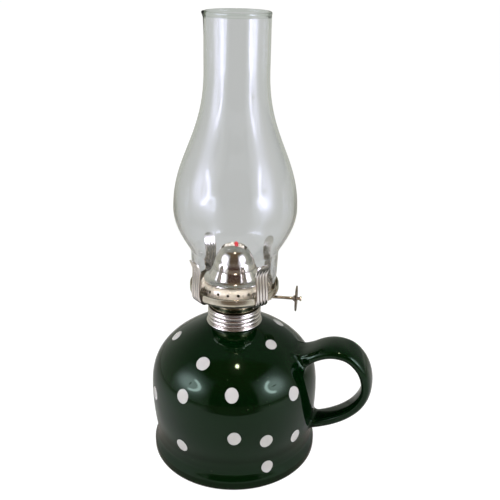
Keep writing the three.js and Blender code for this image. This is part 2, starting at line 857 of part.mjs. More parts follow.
function thumbWheel() {
  const disc = new THREE.Shape();
  const steps = wheel.lobes * pointsPerLobe;
  for (let i = 0; i < steps; i += 1) {
    const angle = (Math.PI * 2 * i) / steps;
    const radius = wheel.r - (wheel.lobeDepth / 2) * (1 - Math.cos(angle * wheel.lobes));
    disc[i === 0 ? "moveTo" : "lineTo"](radius * Math.cos(angle), radius * Math.sin(angle));
  }
  disc.closePath();
  const pierce = (count, ringR, holeR, phase) => {
    for (let i = 0; i < count; i += 1) {
      const angle = (Math.PI * 2 * (i + phase)) / count;
      const [x, y] = [ringR * Math.cos(angle), ringR * Math.sin(angle)];
      disc.holes.push(new THREE.Path().absarc(x, y, holeR, 0, Math.PI * 2));
    }
  };
  pierce(wheelPiercing.inner, wheelPiercing.innerRingR, wheelPiercing.innerR, 0);
  pierce(wheel.lobes, wheelPiercing.outerRingR, wheelPiercing.outerR, 0.5);
  const plate = plateAcrossX(disc, wheel.thickness, shaft.reach, roundSegments.hole / 2);
  const tip = -wheel.hubLength;
  const hub = revolve(
    [at(0, tip), at(shaft.r * wheelHubTip, tip), at(wheel.hubR, 0), at(0, 0)],
    roundSegments.small,
  );
  hub.rotateY(Math.PI / 2);
  hub.translate(shaft.reach, 0, 0);
  const bore = rodAlongX(
    shaft.r + seatGap,
    shaft.reach - wheel.hubLength - cutOverrun,
    shaft.reach + wheel.thickness + cutOverrun,
    0,
    0,
    roundSegments.small,
  );
  return subtractAll(join(plate, hub), [bore]);
}

// Deflector dome with its slot for the flame

function domeShell() {
  const height = dome.top - dome.sheet / 2 - dome.lipZ;
  const place = ([out, up]) => at(out * dome.lipR, dome.lipZ + up * height);
  const flank = dome.flankShares.map(place);
  const crown = dome.crownShares.map(place);
  crown[0].x -= dome.creaseStep;
  const centreLine = [at(dome.lipR, dome.lipZ), ...flank, ...crown];
  const outer = offsetOutline(centreLine, -dome.sheet / 2);
  const inner = offsetOutline(centreLine, dome.sheet / 2).reverse();
  const shellSolid = revolve(
    [at(0, dome.top), ...outer.reverse(), ...inner.reverse(), at(0, dome.top - dome.sheet)],
    roundSegments.metal,
  );
  const slot = prism(
    roundedRectangle(dome.slotLength, dome.slotWidth, dome.slotWidth * dome.slotCornerShare),
    tube.top + seatGap,
    dome.top + cutOverrun,
    curveSteps.slot,
  );
  return subtractAll(shellSolid, [slot]);
}

function wickStrip() {
  const shape = new THREE.Shape();
  const half = wick.width / 2;
  shape.moveTo(-half, -wick.tail);
  shape.lineTo(half, -wick.tail);
  shape.lineTo(half, wick.top - wick.trim);
  shape.quadraticCurveTo(half, wick.top, half - wick.trim, wick.top);
  shape.lineTo(wick.trim - half, wick.top);
  shape.quadraticCurveTo(-half, wick.top, -half, wick.top - wick.trim);
  shape.closePath();
  const strip = new THREE.ExtrudeGeometry(shape, {
    depth: wick.thickness,
    bevelEnabled: false,
    curveSegments: curveSteps.wickEdge,
  });
  strip.rotateX(Math.PI / 2);
  strip.translate(0, wick.thickness / 2, 0);
  return strip;
}

// Glass chimney: a fitter tube, a bulge round the flame and a straight throat with a melted rim

function chimneyTube() {
  const z = (rise) => glassFootZ + rise;
  const foot = bezier2(
    at(glass.footR, z(0)),
    at(glass.footR + glass.footSpread, z(glass.footStraightRise)),
    at(glass.fitterR, z(glass.shoulderRise)),
    curveSteps.wall,
  );
  const lower = bezier3(
    at(glass.fitterR, z(glass.shoulderRise)),
    at(glass.fitterR + glass.shoulderLean, z(glass.shoulderRise + glass.shoulderTangent)),
    at(glass.bulgeR, z(glass.bulgeRise - glass.bulgeTangentLow)),
    at(glass.bulgeR, z(glass.bulgeRise)),
    curveSteps.bulge,
  );
  const upper = bezier3(
    at(glass.bulgeR, z(glass.bulgeRise)),
    at(glass.bulgeR, z(glass.bulgeRise + glass.bulgeTangentHigh)),
    at(glass.throatR, z(glass.throatRise - glass.throatTangent)),
    at(glass.throatR, z(glass.throatRise)),
    curveSteps.neck,
  );
  const rimZ = z(glass.height - glass.rimBead);
  const skin = withoutRepeats([...foot, ...lower, ...upper, at(glass.throatR, rimZ - glass.rimBead * 2)]);
  const inner = offsetOutline(skin, glass.wall);
  const beadR = glass.throatR - glass.wall / 2;
  const bead = arc(
    at(beadR, rimZ),
    glass.rimBead,
    -glass.beadWrap,
    Math.PI + glass.beadWrap,
    curveSteps.bead,
  );
  return revolve([...skin, ...bead, ...inner.reverse(), skin[0].clone()], roundSegments.glass);
}

// Assembly

const lamp = new THREE.Group();

function add(parent, name, geometry, material) {
  const mesh = new THREE.Mesh(geometry, material);
  mesh.name = name;
  parent.add(mesh);
  return mesh;
}

add(lamp, "font_body", fontBody(), glaze());
add(lamp, "collar_cement", cementRing(), plaster());
add(lamp, "collar", collarRing(), nickel());

const burner = new THREE.Group();
burner.position.z = collarTop;
burner.rotation.z = burnerTurn;
lamp.add(burner);

add(burner, "screw_shell", screwShell(), nickel());
add(burner, "burner_baffle", baffleDisc(), nickel());
add(burner, "burner_cup", burnerCup(), nickel());
add(burner, "gallery", galleryPan(), nickel());
add(burner, "air_screen", airScreen(), nickel());
for (let i = 0; i < prong.count; i += 1) {
  add(burner, `prong_${i + 1}`, prongStrip(), nickel()).rotation.z = prongAngle(i);
}
add(burner, "wick_tube", wickTube(), brass());
add(burner, "sprocket_box", sprocketHousing(), brass());
add(burner, "shaft_ferrule", shaftFerrule(), brass());
add(burner, "deflector_dome", domeShell(), nickel());
add(burner, "wick", wickStrip(), cotton());

const turning = new THREE.Group();
turning.position.set(0, shaft.offsetY, shaft.z);
burner.add(turning);
add(turning, "wick_shaft", shaftRod(), brass());
add(turning, "thumb_wheel", thumbWheel(), nickel());
spurPlaces().forEach((x, i) => {
  add(turning, `spur_wheel_${i + 1}`, spurWheel(), brass()).position.x = x;
});

add(burner, "chimney", chimneyTube(), clearGlass());

export default lamp;
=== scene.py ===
"""Kerosene hand lamp: the finishes and fine forms of its font, burner, wick and chimney."""

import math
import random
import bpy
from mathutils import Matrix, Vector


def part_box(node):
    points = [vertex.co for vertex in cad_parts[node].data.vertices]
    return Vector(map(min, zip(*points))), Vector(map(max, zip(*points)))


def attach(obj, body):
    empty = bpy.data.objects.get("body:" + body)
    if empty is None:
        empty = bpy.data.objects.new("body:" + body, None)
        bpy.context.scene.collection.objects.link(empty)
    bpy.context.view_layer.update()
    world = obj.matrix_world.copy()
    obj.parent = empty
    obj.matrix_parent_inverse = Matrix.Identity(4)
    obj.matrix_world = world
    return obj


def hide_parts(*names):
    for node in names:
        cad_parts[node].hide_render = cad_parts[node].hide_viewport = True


bl_info = {
    "name": "Kerosene Hand Lamp",
    "version": (1, 0, 0),
    "blender": (4, 5, 0),
    "location": "View3D > Sidebar > Lamp",
    "description": "Builds a glazed hand lamp with a flat-wick burner and a glass chimney",
    "category": "Add Mesh",
}

import bpy
from bpy.props import FloatProperty, FloatVectorProperty, PointerProperty
from mathutils import Matrix, Vector

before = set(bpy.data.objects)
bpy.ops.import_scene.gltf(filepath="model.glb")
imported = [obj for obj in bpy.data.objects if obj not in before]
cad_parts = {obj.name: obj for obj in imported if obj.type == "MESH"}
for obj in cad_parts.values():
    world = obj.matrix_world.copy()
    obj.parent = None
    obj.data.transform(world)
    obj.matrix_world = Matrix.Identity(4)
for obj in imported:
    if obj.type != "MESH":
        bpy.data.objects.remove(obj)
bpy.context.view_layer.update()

MM = 0.001
WELD = 2e-6
FINE_TURN = 128
PLAIN_TURN = 96
SMALL_TURN = 32

# The collar's top edge carries the burner, which stands turned a little on it
COLLAR_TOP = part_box("collar")[1].z
BURNER_TURN = math.radians(6)
SHAFT_OFFSET = 5.6 * MM
SHAFT_HEIGHT = 5.1 * MM


# Small tools for modelling


def deselect():
    """Deselects every object."""
    bpy.ops.object.select_all(action="DESELECT")


def pick(obj, *others):
    """Selects these objects, the first of them active."""
    deselect()
    for other in others:
        other.select_set(True)
    obj.select_set(True)
    bpy.context.view_layer.objects.active = obj


def named(name):
    """Names the object that was just added, and its mesh."""
    obj = bpy.context.active_object
    obj.name = name
    obj.data.name = name
    return obj


def enter():
    bpy.ops.object.mode_set(mode="EDIT")


def leave():
    bpy.ops.object.mode_set(mode="OBJECT")


def edit(obj):
    """Opens a mesh with its points to be selected."""
    pick(obj)
    enter()
    bpy.ops.mesh.select_mode(type="VERT")


def take_all():
    bpy.ops.mesh.select_all(action="SELECT")


def take_none():
    bpy.ops.mesh.select_all(action="DESELECT")


def face_outwards():
    """Points all the faces of the open mesh outwards."""
    take_all()
    bpy.ops.mesh.normals_make_consistent(inside=False)


def select_faces(obj, test):
    """Selects the faces whose centre and normal pass a test, and ends in edit mode."""
    edit(obj)
    take_none()
    leave()
    for face in obj.data.polygons:
        if test(face.center, face.normal):
            face.select = True
    enter()
    bpy.ops.mesh.select_mode(type="FACE")


def finish_modifier(obj, kind, **settings):
    """Adds a modifier, sets it and applies it."""
    pick(obj)
    bpy.ops.object.modifier_add(type=kind)
    modifier = obj.modifiers[-1]
    for key, value in settings.items():
        setattr(modifier, key, value)
    bpy.ops.object.modifier_apply(modifier=modifier.name)


def combine(obj, other, operation):
    """Cuts the other object from this one, or fuses it on, and uses it up."""
    finish_modifier(obj, "BOOLEAN", operation=operation, object=other, solver="EXACT")
    bpy.data.objects.remove(other)


def cut(obj, cutter):
    combine(obj, cutter, "DIFFERENCE")


def fuse(obj, other):
    combine(obj, other, "UNION")


def ease_edges(obj, width):
    """Rounds the sharp edges a little."""
    sharp = math.radians(50)
    finish_modifier(
        obj, "BEVEL", width=width, segments=2, limit_method="ANGLE", angle_limit=sharp
    )


def join(objects):
    """Makes one object of many, which keeps the first one's name."""
    pick(objects[0], *objects[1:])
    bpy.ops.object.join()
    return objects[0]


def settle(obj):
    """Puts the object's place into its mesh."""
    pick(obj)
    bpy.ops.object.transform_apply(location=True, rotation=True, scale=True)


def copy_of(obj, name):
    """Copies an object with a mesh of its own."""
    twin = obj.copy()
    twin.data = obj.data.copy()
    twin.name = name
    twin.data.name = name
    bpy.context.scene.collection.objects.link(twin)
    return twin


def set_on_burner(obj, turn=0.0):
    """Moves a piece from the burner's own frame to its place on the collar."""
    obj.location = (0, 0, COLLAR_TOP)
    obj.rotation_euler = (0, 0, BURNER_TURN + turn)
    settle(obj)


def wear(obj, finish):
    """Gives a piece one finish, by its key, in place of any other."""
    obj.data.materials.clear()
    obj.data.materials.append(finish_named(finish))


def dress(obj, body, finish, nodes, angle=35):
    """Gives a finished piece its shading, its finish and its place on the frame."""
    pick(obj)
    bpy.ops.object.shade_smooth_by_angle(angle=math.radians(angle))
    wear(obj, finish)
    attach(obj, body)
    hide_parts(*nodes)


def fit_to_burner(obj, finish, node, angle=35, turn=0.0):
    """Sets a plated piece on the burner and dresses it there."""
    set_on_burner(obj, turn)
    dress(obj, "burner", finish, [node], angle)


def trace(name, outline):
    """One vertex, extruded along an outline of (radius, height) in metres."""
    deselect()
    bpy.ops.mesh.primitive_plane_add(size=MM, location=(0, 0, 0))
    obj = named(name)
    edit(obj)
    take_all()
    bpy.ops.mesh.merge(type="CENTER")
    bpy.ops.transform.translate(value=(outline[0][0], 0, outline[0][1]))
    for (r0, z0), (r1, z1) in zip(outline, outline[1:]):
        bpy.ops.mesh.extrude_region_move(TRANSFORM_OT_translate={"value": (r1 - r0, 0, z1 - z0)})
    return obj


def spin(obj, steps):
    """Turns the traced outline round Z, welds it and points its faces outwards."""
    take_all()
    bpy.ops.mesh.spin(steps=steps, angle=math.tau, center=(0, 0, 0), axis=(0, 0, 1))
    take_all()
    bpy.ops.mesh.remove_doubles(threshold=WELD)
    face_outwards()
    leave()
    return obj


def turned(name, outline, steps):
    """A solid spun from an outline in metres."""
    return spin(trace(name, outline), steps)


def turned_sheet(name, centre_line, thickness, edge):
    """A spun sheet of even thickness, with its edges eased."""
    obj = turned(name, without_repeats(centre_line), FINE_TURN)
    finish_modifier(obj, "SOLIDIFY", thickness=thickness, offset=0, use_even_offset=True)
    ease_edges(obj, edge)
    return obj


# Curves through given places


def mm(*pairs):
    """Pairs of millimetres in metres."""
    return [(a * MM, b * MM) for a, b in pairs]


def cubic(a, b, c, d, steps):
    """Points of a curve from a to d that is drawn towards b and c."""
    points = []
    for i in range(steps + 1):
        t = i / steps
        u = 1 - t
        weights = (u**3, 3 * u * u * t, 3 * u * t * t, t**3)
        points.append(
            tuple(sum(w * p[k] for w, p in zip(weights, (a, b, c, d))) for k in (0, 1))
        )
    return points


def quadratic(a, b, c, steps):
    """Points of a curve from a to c that is drawn towards b."""
    first = tuple(a[k] + (b[k] - a[k]) * 2 / 3 for k in (0, 1))
    second = tuple(c[k] + (b[k] - c[k]) * 2 / 3 for k in (0, 1))
    return cubic(a, first, second, c, steps)


def arc(centre, radius, start, end, steps):
    """Points of an arc; angles in degrees, 0 is outwards and 90 is up."""
    points = []
    for i in range(steps + 1):
        angle = math.radians(start + (end - start) * i / steps)
        points.append((centre[0] + radius * math.cos(angle), centre[1] + radius * math.sin(angle)))
    return points


def smooth(a, b, c, d, t):
    """A number between b and c on a smooth line through all four."""
    square = (2 * a - 5 * b + 4 * c - d) * t * t
    cube = (3 * b - a - 3 * c + d) * t**3
    return 0.5 * (2 * b + (c - a) * t + square + cube)


def spline(stations, steps):
    """A smooth line through rows of numbers, with the same count of steps in each span."""
    rows = [stations[0], *stations, stations[-1]]
    points = []
    for i in range(1, len(rows) - 2):
        near = list(zip(*rows[i - 1 : i + 3]))
        for step in range(steps):
            points.append(tuple(smooth(*four, step / steps) for four in near))
    points.append(tuple(stations[-1]))
    return points


def along_at(line, k):
    """Which way a line of points runs at one of them, as a flat unit vector."""
    before, after = line[max(k - 1, 0)], line[min(k + 1, len(line) - 1)]
    return Vector((after[0] - before[0], after[1] - before[1])).normalized()


def shifted(points, distance):
    """The outline moved to the left of its direction of travel."""
    moved = []
    for i, (r, z) in enumerate(points):
        along = along_at(points, i)
        moved.append((r - along.y * distance, z + along.x * distance))
    return moved


def without_repeats(points):
    """The points without those that lie on the one before."""
    kept = [points[0]]
    for point in points[1:]:
        if math.dist(point, kept[-1]) > WELD * 5:
            kept.append(point)
    return kept


def polar(radius, azimuth, height=0.0):
    """A place or direction at an azimuth in radians."""
    return Vector((radius * math.cos(azimuth), radius * math.sin(azimuth), height))


# Shader maths as Python expressions


class Wire:
    """A shader socket that adds Math nodes when it is used in an expression."""

    def __init__(self, finish, socket):
        self.finish = finish
        self.socket = socket

    def math(self, operation, *values):
        return self.finish.node("ShaderNodeMath", {"operation": operation}, values)

    def __add__(self, other):
        return self.math("ADD", self, other)

    def __sub__(self, other):
        return self.math("SUBTRACT", self, other)

    def __mul__(self, other):
        return self.math("MULTIPLY", self, other)

    def __truediv__(self, other):
        return self.math("DIVIDE", self, other)

    def __radd__(self, other):
        return self.math("ADD", other, self)

    def __rsub__(self, other):
        return self.math("SUBTRACT", other, self)

    def __rmul__(self, other):
        return self.math("MULTIPLY", other, self)

    def __rtruediv__(self, other):
        return self.math("DIVIDE", other, self)

    def __pow__(self, other):
        return self.math("POWER", self, other)

    def least(self, other):
        return self.math("MINIMUM", self, other)

    def most(self, other):
        return self.math("MAXIMUM", self, other)

    def size(self):
        return self.math("ABSOLUTE", self)

    def wave(self, length):
        """A sine wave that repeats at this length."""
        return self.math("SINE", self * (math.tau / length))


class Nodes:
    """A node tree and the ways to add to it."""

    def __init__(self, tree):
        self.tree = tree
        self.place = None

    def set(self, node, values):
        """Sets or links sockets by name or by number."""
        for key, value in values.items():
            socket = node.inputs[key]
            if isinstance(value, Wire):
                self.tree.links.new(value.socket, socket)
            else:
                socket.default_value = value

    def node(self, kind, settings=None, values=(), output=0):
        """Adds a node, sets its options first and its sockets after, and returns an output."""
        made = self.tree.nodes.new(kind)
        for key, value in (settings or {}).items():
            if key == "stops":
                ramp = made.color_ramp
                while len(ramp.elements) < len(value):
                    ramp.elements.new(1.0)
                for element, (position, color) in zip(ramp.elements, value):
                    element.position = position
                    element.color = color
            else:
                setattr(made, key, value)
        if not isinstance(values, dict):
            values = dict(enumerate(values))
        self.set(made, values)
        return Wire(self, made.outputs[output])

    def outputs(self, kind, *names):
        """Adds a node and returns the outputs that are asked for."""
        made = self.tree.nodes.new(kind)
        return [Wire(self, made.outputs[name]) for name in names]

    def spread(self, vector):
        """A vector's three numbers."""
        made = self.tree.nodes.new("ShaderNodeSeparateXYZ")
        self.set(made, {0: vector})
        return [Wire(self, made.outputs[name]) for name in "XYZ"]

    def length(self, vector):
        return self.node(
            "ShaderNodeVectorMath", {"operation": "LENGTH"}, {0: vector}, output="Value"
        )

    def turned_place(self, turn):
        """The three numbers of the place, with the lamp turned about its axis."""
        turned = self.node(
            "ShaderNodeMapping",
            {"vector_type": "POINT"},
            {"Vector": self.where(), "Rotation": (0.0, 0.0, turn)},
        )
        return self.spread(turned)

    def where(self):
        """The place on the piece, in metres, in the lamp's frame."""
        if self.place is None:
            self.place = self.node("ShaderNodeTexCoord", output="Object")
        return self.place

    def noise(self, scale, detail=2.0, place=None, **settings):
        return self.node(
            "ShaderNodeTexNoise",
            settings,
            {"Vector": place or self.where(), "Scale": scale, "Detail": detail},
        )

    def ramp(self, value, low, high, to_low=0.0, to_high=1.0):
        """Maps a value smoothly from one range to another."""
        return self.node(
            "ShaderNodeMapRange",
            {"interpolation_type": "SMOOTHSTEP"},
            (value, low, high, to_low, to_high),
        )

    def mix(self, share, first, second):
        return self.node(
            "ShaderNodeMix",
            {"data_type": "RGBA"},
            {0: share, 6: first, 7: second},
            output=2,
        )

    def emission(self, color, strength=1.0):
        return self.node("ShaderNodeEmission", None, {"Color": color, "Strength": strength})

    def blend(self, share, first, second):
        """Two surfaces mixed; the second shows where the share is 1."""
        return self.node("ShaderNodeMixShader", None, {0: share, 1: first, 2: second})

    def end(self, kind, shader):
        """Links a surface to the tree's output, which is added if it isn't there."""
        ends = [node for node in self.tree.nodes if node.bl_idname == kind]
        output = ends[0] if ends else self.tree.nodes.new(kind)
        self.set(output, {"Surface": shader})


class Finish(Nodes):
    """One material and the nodes that make its surface."""

    def __init__(self, name, **constants):
        self.material = bpy.data.materials.new(name)
        self.material.use_nodes = True
        super().__init__(self.material.node_tree)
        self.shader = self.tree.nodes["Principled BSDF"]
        self.set(self.shader, constants)

    def bump(self, height, distance, strength=1.0):
        return self.node(
            "ShaderNodeBump", None, {"Strength": strength, "Distance": distance, "Height": height}
        )

    def color(self, value):
        self.set(self.shader, {"Base Color": value})

    def roughness(self, value):
        self.set(self.shader, {"Roughness": value})

    def normal(self, value):
        self.set(self.shader, {"Normal": value})


def opaque(color):
    """A colour with its alpha."""
    return (*color[:3], 1.0)


def length_of(*parts):
    """The length of the vector that these wires make."""
    total = parts[0] * parts[0]
    for part in parts[1:]:
        total = total + part * part
    return total**0.5


# Painted dots: azimuth from the handle in degrees, then height, half width and half height
# in millimetres. The loose rows go on round the back as they do in front.
DOTS = [
    (-165.1, 92.5, 4.95, 4.4),
    (32.1, 98.0, 4.85, 4.4),
    (-25.6, 98.0, 4.7, 4.0),
    (-104.8, 91.8, 4.9, 4.9),
    (-144.7, 56.6, 4.8, 4.95),
    (-111.8, 71.5, 4.75, 5.1),
    (-76.5, 78.0, 4.65, 5.3),
    (-30.5, 70.3, 4.8, 5.2),
    (-113.2, 30.0, 4.8, 4.85),
    (-74.9, 46.1, 4.65, 5.3),
    (-53.4, 40.7, 4.75, 5.2),
    (-28.7, 33.7, 4.6, 5.0),
    (-51.5, 16.8, 4.4, 4.7),
    (88.0, 92.5, 4.9, 4.6),
    (141.0, 97.0, 4.7, 4.3),
    (38.0, 72.0, 4.8, 5.1),
    (74.0, 66.0, 4.6, 5.2),
    (109.0, 76.0, 4.9, 5.0),
    (146.0, 63.0, 4.7, 5.2),
    (-177.0, 71.0, 4.8, 5.1),
    (29.0, 36.0, 4.6, 4.9),
    (58.0, 44.0, 4.9, 5.1),
    (94.0, 34.0, 4.7, 5.2),
    (124.0, 46.0, 4.8, 4.9),
    (157.0, 31.0, 4.7, 5.1),
    (-160.0, 27.0, 4.8, 5.0),
    (77.0, 17.5, 4.5, 4.7),
    (178.0, 45.0, 4.7, 5.1),
    (140.0, 16.5, 4.6, 4.7),
]


def skin_curves():
    """The font's outer outline from its foot to its shoulder, in three runs, in metres."""
    sizes = bpy.context.scene.lamp_font
    foot, waist, belly = sizes.foot_radius, sizes.waist_radius, sizes.belly_radius
    waist_top, belly_height = 22.2 * MM, 52.0 * MM
    neck_root = (20 * MM, 106 * MM)
    stations = [
        (foot, 7.6 * MM),
        (foot - 0.25 * MM, 8.6 * MM),
        (waist + 1.3 * MM, 11 * MM),
        (waist + 0.45 * MM, 13.3 * MM),
        (waist + 0.1 * MM, 14.9 * MM),
        (waist, 17.5 * MM),
        (waist, waist_top),
    ]
    flare = spline(stations, 2)
    middle = (belly, belly_height)
    side = quadratic((waist, waist_top), (belly, 37.1 * MM), middle, 12)
    shoulder = cubic(middle, (belly, 72.5 * MM), (60 * MM, 86 * MM), neck_root, 22)
    return flare, side, shoulder


def skin_at(height):
    """The skin's radius at a height, and how far it leans in there."""
    flare, side, shoulder = skin_curves()
    line = flare + side + shoulder
    for (r0, z0), (r1, z1) in zip(line, line[1:]):
        if z0 <= height <= z1 and z1 > z0:
            share = (height - z0) / (z1 - z0)
            return r0 + (r1 - r0) * share, math.atan2(r0 - r1, z1 - z0)
    return line[0][0], 0.0


def dot_field(finish):
    """How near the closest dot's centre is, 1 on its edge."""
    depth = 8 * MM
    nearest = None
    for azimuth, height, half_width, half_height in DOTS:
        r, lean = skin_at(height * MM)
        angle = math.radians(azimuth)
        own = finish.node(
            "ShaderNodeMapping",
            {"vector_type": "TEXTURE"},
            {
                "Vector": finish.where(),
                "Location": (r * math.cos(angle), r * math.sin(angle), height * MM),
                "Rotation": (-lean, 0.0, angle + math.pi / 2),
                "Scale": (half_width * MM, depth, half_height * MM),
            },
        )
        reach = finish.length(own)
        nearest = reach if nearest is None else nearest.least(reach)
    return nearest


def glaze_finish():
    """Deep green glaze with slip dots, a few specks and a soft ripple."""
    paints = bpy.context.scene.lamp_finishes
    finish = Finish(
        "bottle_green_glaze",
        **{"IOR": 1.5, "Specular IOR Level": 0.3, "Specular Tint": (0.72, 1.0, 0.7, 1.0)},
    )
    # The dots' edges are painted a little unevenly
    wobble = (finish.noise(260.0, 2.0) - 0.5) * 0.12
    paint = finish.ramp(dot_field(finish) + wobble, 1.03, 0.97)
    cloud = finish.noise(34.0, 3.0)
    green = finish.mix(cloud, opaque(paints.glaze_deep), opaque(paints.glaze_mid))
    speck = finish.ramp(finish.noise(1400.0, 1.0), 0.73, 0.78)
    white = finish.mix(speck * 0.3, opaque(paints.dot_color), (0.35, 0.34, 0.3, 1.0))
    dust = finish.ramp(finish.noise(520.0, 1.0), 0.8, 0.82)
    green = finish.mix(dust * 0.35, green, (0.2, 0.2, 0.12, 1.0))
    finish.color(finish.mix(paint, green, white))
    finish.roughness(finish.ramp(finish.noise(60.0, 3.0), 0.3, 0.7, 0.03, 0.06))
    ripple = finish.noise(22.0, 2.0) + finish.noise(420.0, 1.0) * 0.04
    finish.normal(finish.bump(ripple + paint * 0.06, 0.0006, 0.3))
    return finish.material


# A dark colour for painted shade in grooves and under the gallery
PAINTED_SHADE = (0.035, 0.028, 0.018, 1.0)


def plate_finish(name, color, low, high, unshaded=None):
    """Bright plated sheet: fine rub marks, faint cloudiness, and painted shade in hollows and
    underneath.

    The roughness runs from low to high. A function for unshaded gives two masks: where the
    plate has no painted shade, and where it is a little dull.
    """
    finish = Finish(name, **{"Metallic": 1.0, "Specular IOR Level": 0.5})
    cloud = finish.noise(120.0, 4.0)
    fine = finish.noise(2600.0, 2.0)
    clouded = [part * 0.86 for part in color]
    tone = finish.mix(cloud, opaque(color), opaque(clouded))
    rough = finish.ramp(cloud * 0.7 + fine * 0.3, 0.3, 0.7, low, high)
    if unshaded:
        share, dull = unshaded(finish)
        # Painted shade: the plate turns dark where the mask is low, and it is rougher there
        tone = finish.mix(share, PAINTED_SHADE, tone)
        rough = rough + (1 - share) * 0.35 + dull * 0.06
    finish.color(tone)
    finish.roughness(rough)
    finish.normal(finish.bump(finish.noise(180.0, 3.0) + fine * 0.05, 0.00012, 0.3))
    return finish.material


def unshaded_above(finish):
    """The gallery's underside is dull, and dark with painted shade."""
    _, _, z = finish.spread(finish.where())
    return finish.ramp(z - COLLAR_TOP, 12.0 * MM, 12.7 * MM), 0.0


def unshaded_ridges(finish):
    """Painted shade darkens the collar's grooves, which are rougher too."""
    x, y, _ = finish.spread(finish.where())
    return finish.ramp(length_of(x, y), 18.5 * MM, 18.85 * MM), 0.0


def unshaded_bands(finish):
    """Painted shade darkens the prongs' grooves, below their smooth tips."""
    x, y, z = finish.turned_place(-BURNER_TURN - math.pi / 4)
    across = x.size().least(y.size())
    groove = across.least((across - 2.5 * MM).size())
    smooth = finish.ramp(z - COLLAR_TOP, 36.4 * MM, 37.6 * MM)
    return finish.ramp(groove, 0.12 * MM, 0.4 * MM, 0.3, 1.0).most(smooth), smooth


def plaster_finish():
    """Set plaster with a fine grit."""
    finish = Finish("collar_plaster", **{"Specular IOR Level": 0.3})
    grit = finish.noise(700.0, 4.0)
    finish.color(finish.mix(grit, (0.6, 0.57, 0.5, 1.0), (0.78, 0.75, 0.68, 1.0)))
    finish.roughness(finish.ramp(grit, 0.3, 0.7, 0.8, 0.95))
    finish.normal(finish.bump(grit, 0.0002, 0.5))
    return finish.material


def screen_finish():
    """Dull plate with a bloom of soot and dust."""
    finish = Finish("dull_plate", **{"Metallic": 0.25, "Specular IOR Level": 0.5})
    cloud = finish.noise(160.0, 4.0)
    paints = bpy.context.scene.lamp_finishes
    finish.color(finish.mix(cloud, opaque(paints.screen_color), (0.66, 0.56, 0.42, 1.0)))
    finish.roughness(finish.ramp(cloud, 0.3, 0.7, 0.22, 0.36))
    finish.normal(finish.bump(cloud, 0.0002, 0.3))
    return finish.material


def glass_finish():
    """Clear glass, green at its melted rim, with a dark knot there."""
    paints = bpy.context.scene.lamp_finishes
    finish = Finish(
        "clear_glass",
        **{"Transmission Weight": 1.0, "IOR": 1.47, "Specular Tint": (0.5, 0.5, 0.5, 1.0)},
    )
    x, y, z = finish.spread(finish.where())
    # The height above the middle of the rim's bead
    high = z - COLLAR_TOP - LAMP_OT_chimney.rim * MM
    rim = finish.ramp(high, -2.2 * MM, -0.6 * MM)
    side, back, _ = LAMP_OT_chimney.knot
    away = length_of(x - side * MM, y - back * MM, high)
    knot = finish.ramp(away, 4.4 * MM, 1.8 * MM)
    tint = finish.mix(rim, opaque(paints.glass_color), (0.86, 0.9, 0.86, 1.0))
    finish.color(finish.mix(knot, tint, (0.1, 0.13, 0.08, 1.0)))
    finish.roughness(finish.ramp(finish.noise(40.0, 2.0), 0.3, 0.8, 0.0, 0.012))
    finish.normal(finish.bump(finish.noise(16.0, 1.0), 0.0004, 0.12))
    return finish.material


def cotton_finish():
    """Flat woven cotton: warp cords up the strip, weft across, one red tracer."""
    paints = bpy.context.scene.lamp_finishes
    finish = Finish("woven_cotton", **{"Specular IOR Level": 0.2})
    x, _, z = finish.turned_place(-BURNER_TURN)
    warp = x.wave(1.1 * MM)
    weft = z.wave(0.9 * MM)
    weave = warp * weft * 0.5 + 0.5
    fuzz = finish.noise(3200.0, 3.0)
    # Painted shade between the woven cords darkens the cloth
    shade = (0.86, 0.78, 0.67, 1.0)
    cloth = finish.mix(weave * 0.6 + fuzz * 0.4, shade, opaque(paints.cotton_color))
    # The tracer strays and thickens where the top is frayed
    frayed = finish.ramp(z, COLLAR_TOP + 44.6 * MM, COLLAR_TOP + 46.0 * MM)
    stray = (finish.noise(900.0, 2.0) - 0.5) * (3.4 * MM)
    reach = frayed * (0.8 * MM) + 0.5 * MM
    tracer = finish.ramp((x - 1.6 * MM + stray).size() - reach, 0.1 * MM, -0.1 * MM)
    broken = finish.ramp(weft, -0.4, 0.1).most(frayed)
    finish.color(finish.mix(tracer * broken, cloth, opaque(paints.tracer_color)))
    finish.roughness(finish.ramp(fuzz, 0.3, 0.7, 0.85, 0.98))
    finish.normal(finish.bump(weave + fuzz * 0.3, 0.0003, 0.8))
    return finish.material


# Each plated finish: its material's name, its colour's setting, its least and greatest
# roughness, and the function that says where it is free of painted shade
PLATED = {
    "nickel": ("bright_nickel", "nickel_color", 0.07, 0.16, None),
    "collar": ("collar_nickel", "nickel_color", 0.18, 0.28, unshaded_ridges),
    "pan": ("gallery_plate", "pan_color", 0.16, 0.28, unshaded_above),
    "spring": ("prong_nickel", "nickel_color", 0.14, 0.22, unshaded_bands),
    "brass": ("burner_brass", "brass_color", 0.16, 0.3, None),
    "aged": ("aged_brass", "aged_color", 0.08, 0.16, None),
    "worn": ("worn_plate", "worn_color", 0.2, 0.34, None),
}
OTHER = {
    "glaze": glaze_finish,
    "screen": screen_finish,
    "plaster": plaster_finish,
    "glass": glass_finish,
    "cotton": cotton_finish,
}
FINISHES = {}


def finish_named(key):
    """Each finish is made once."""
    if key not in FINISHES:
        if key in PLATED:
            name, setting, low, high, unshaded = PLATED[key]
            color = getattr(bpy.context.scene.lamp_finishes, setting)
            FINISHES[key] = plate_finish(name, color, low, high, unshaded)
        else:
            FINISHES[key] = OTHER[key]()
    return FINISHES[key]


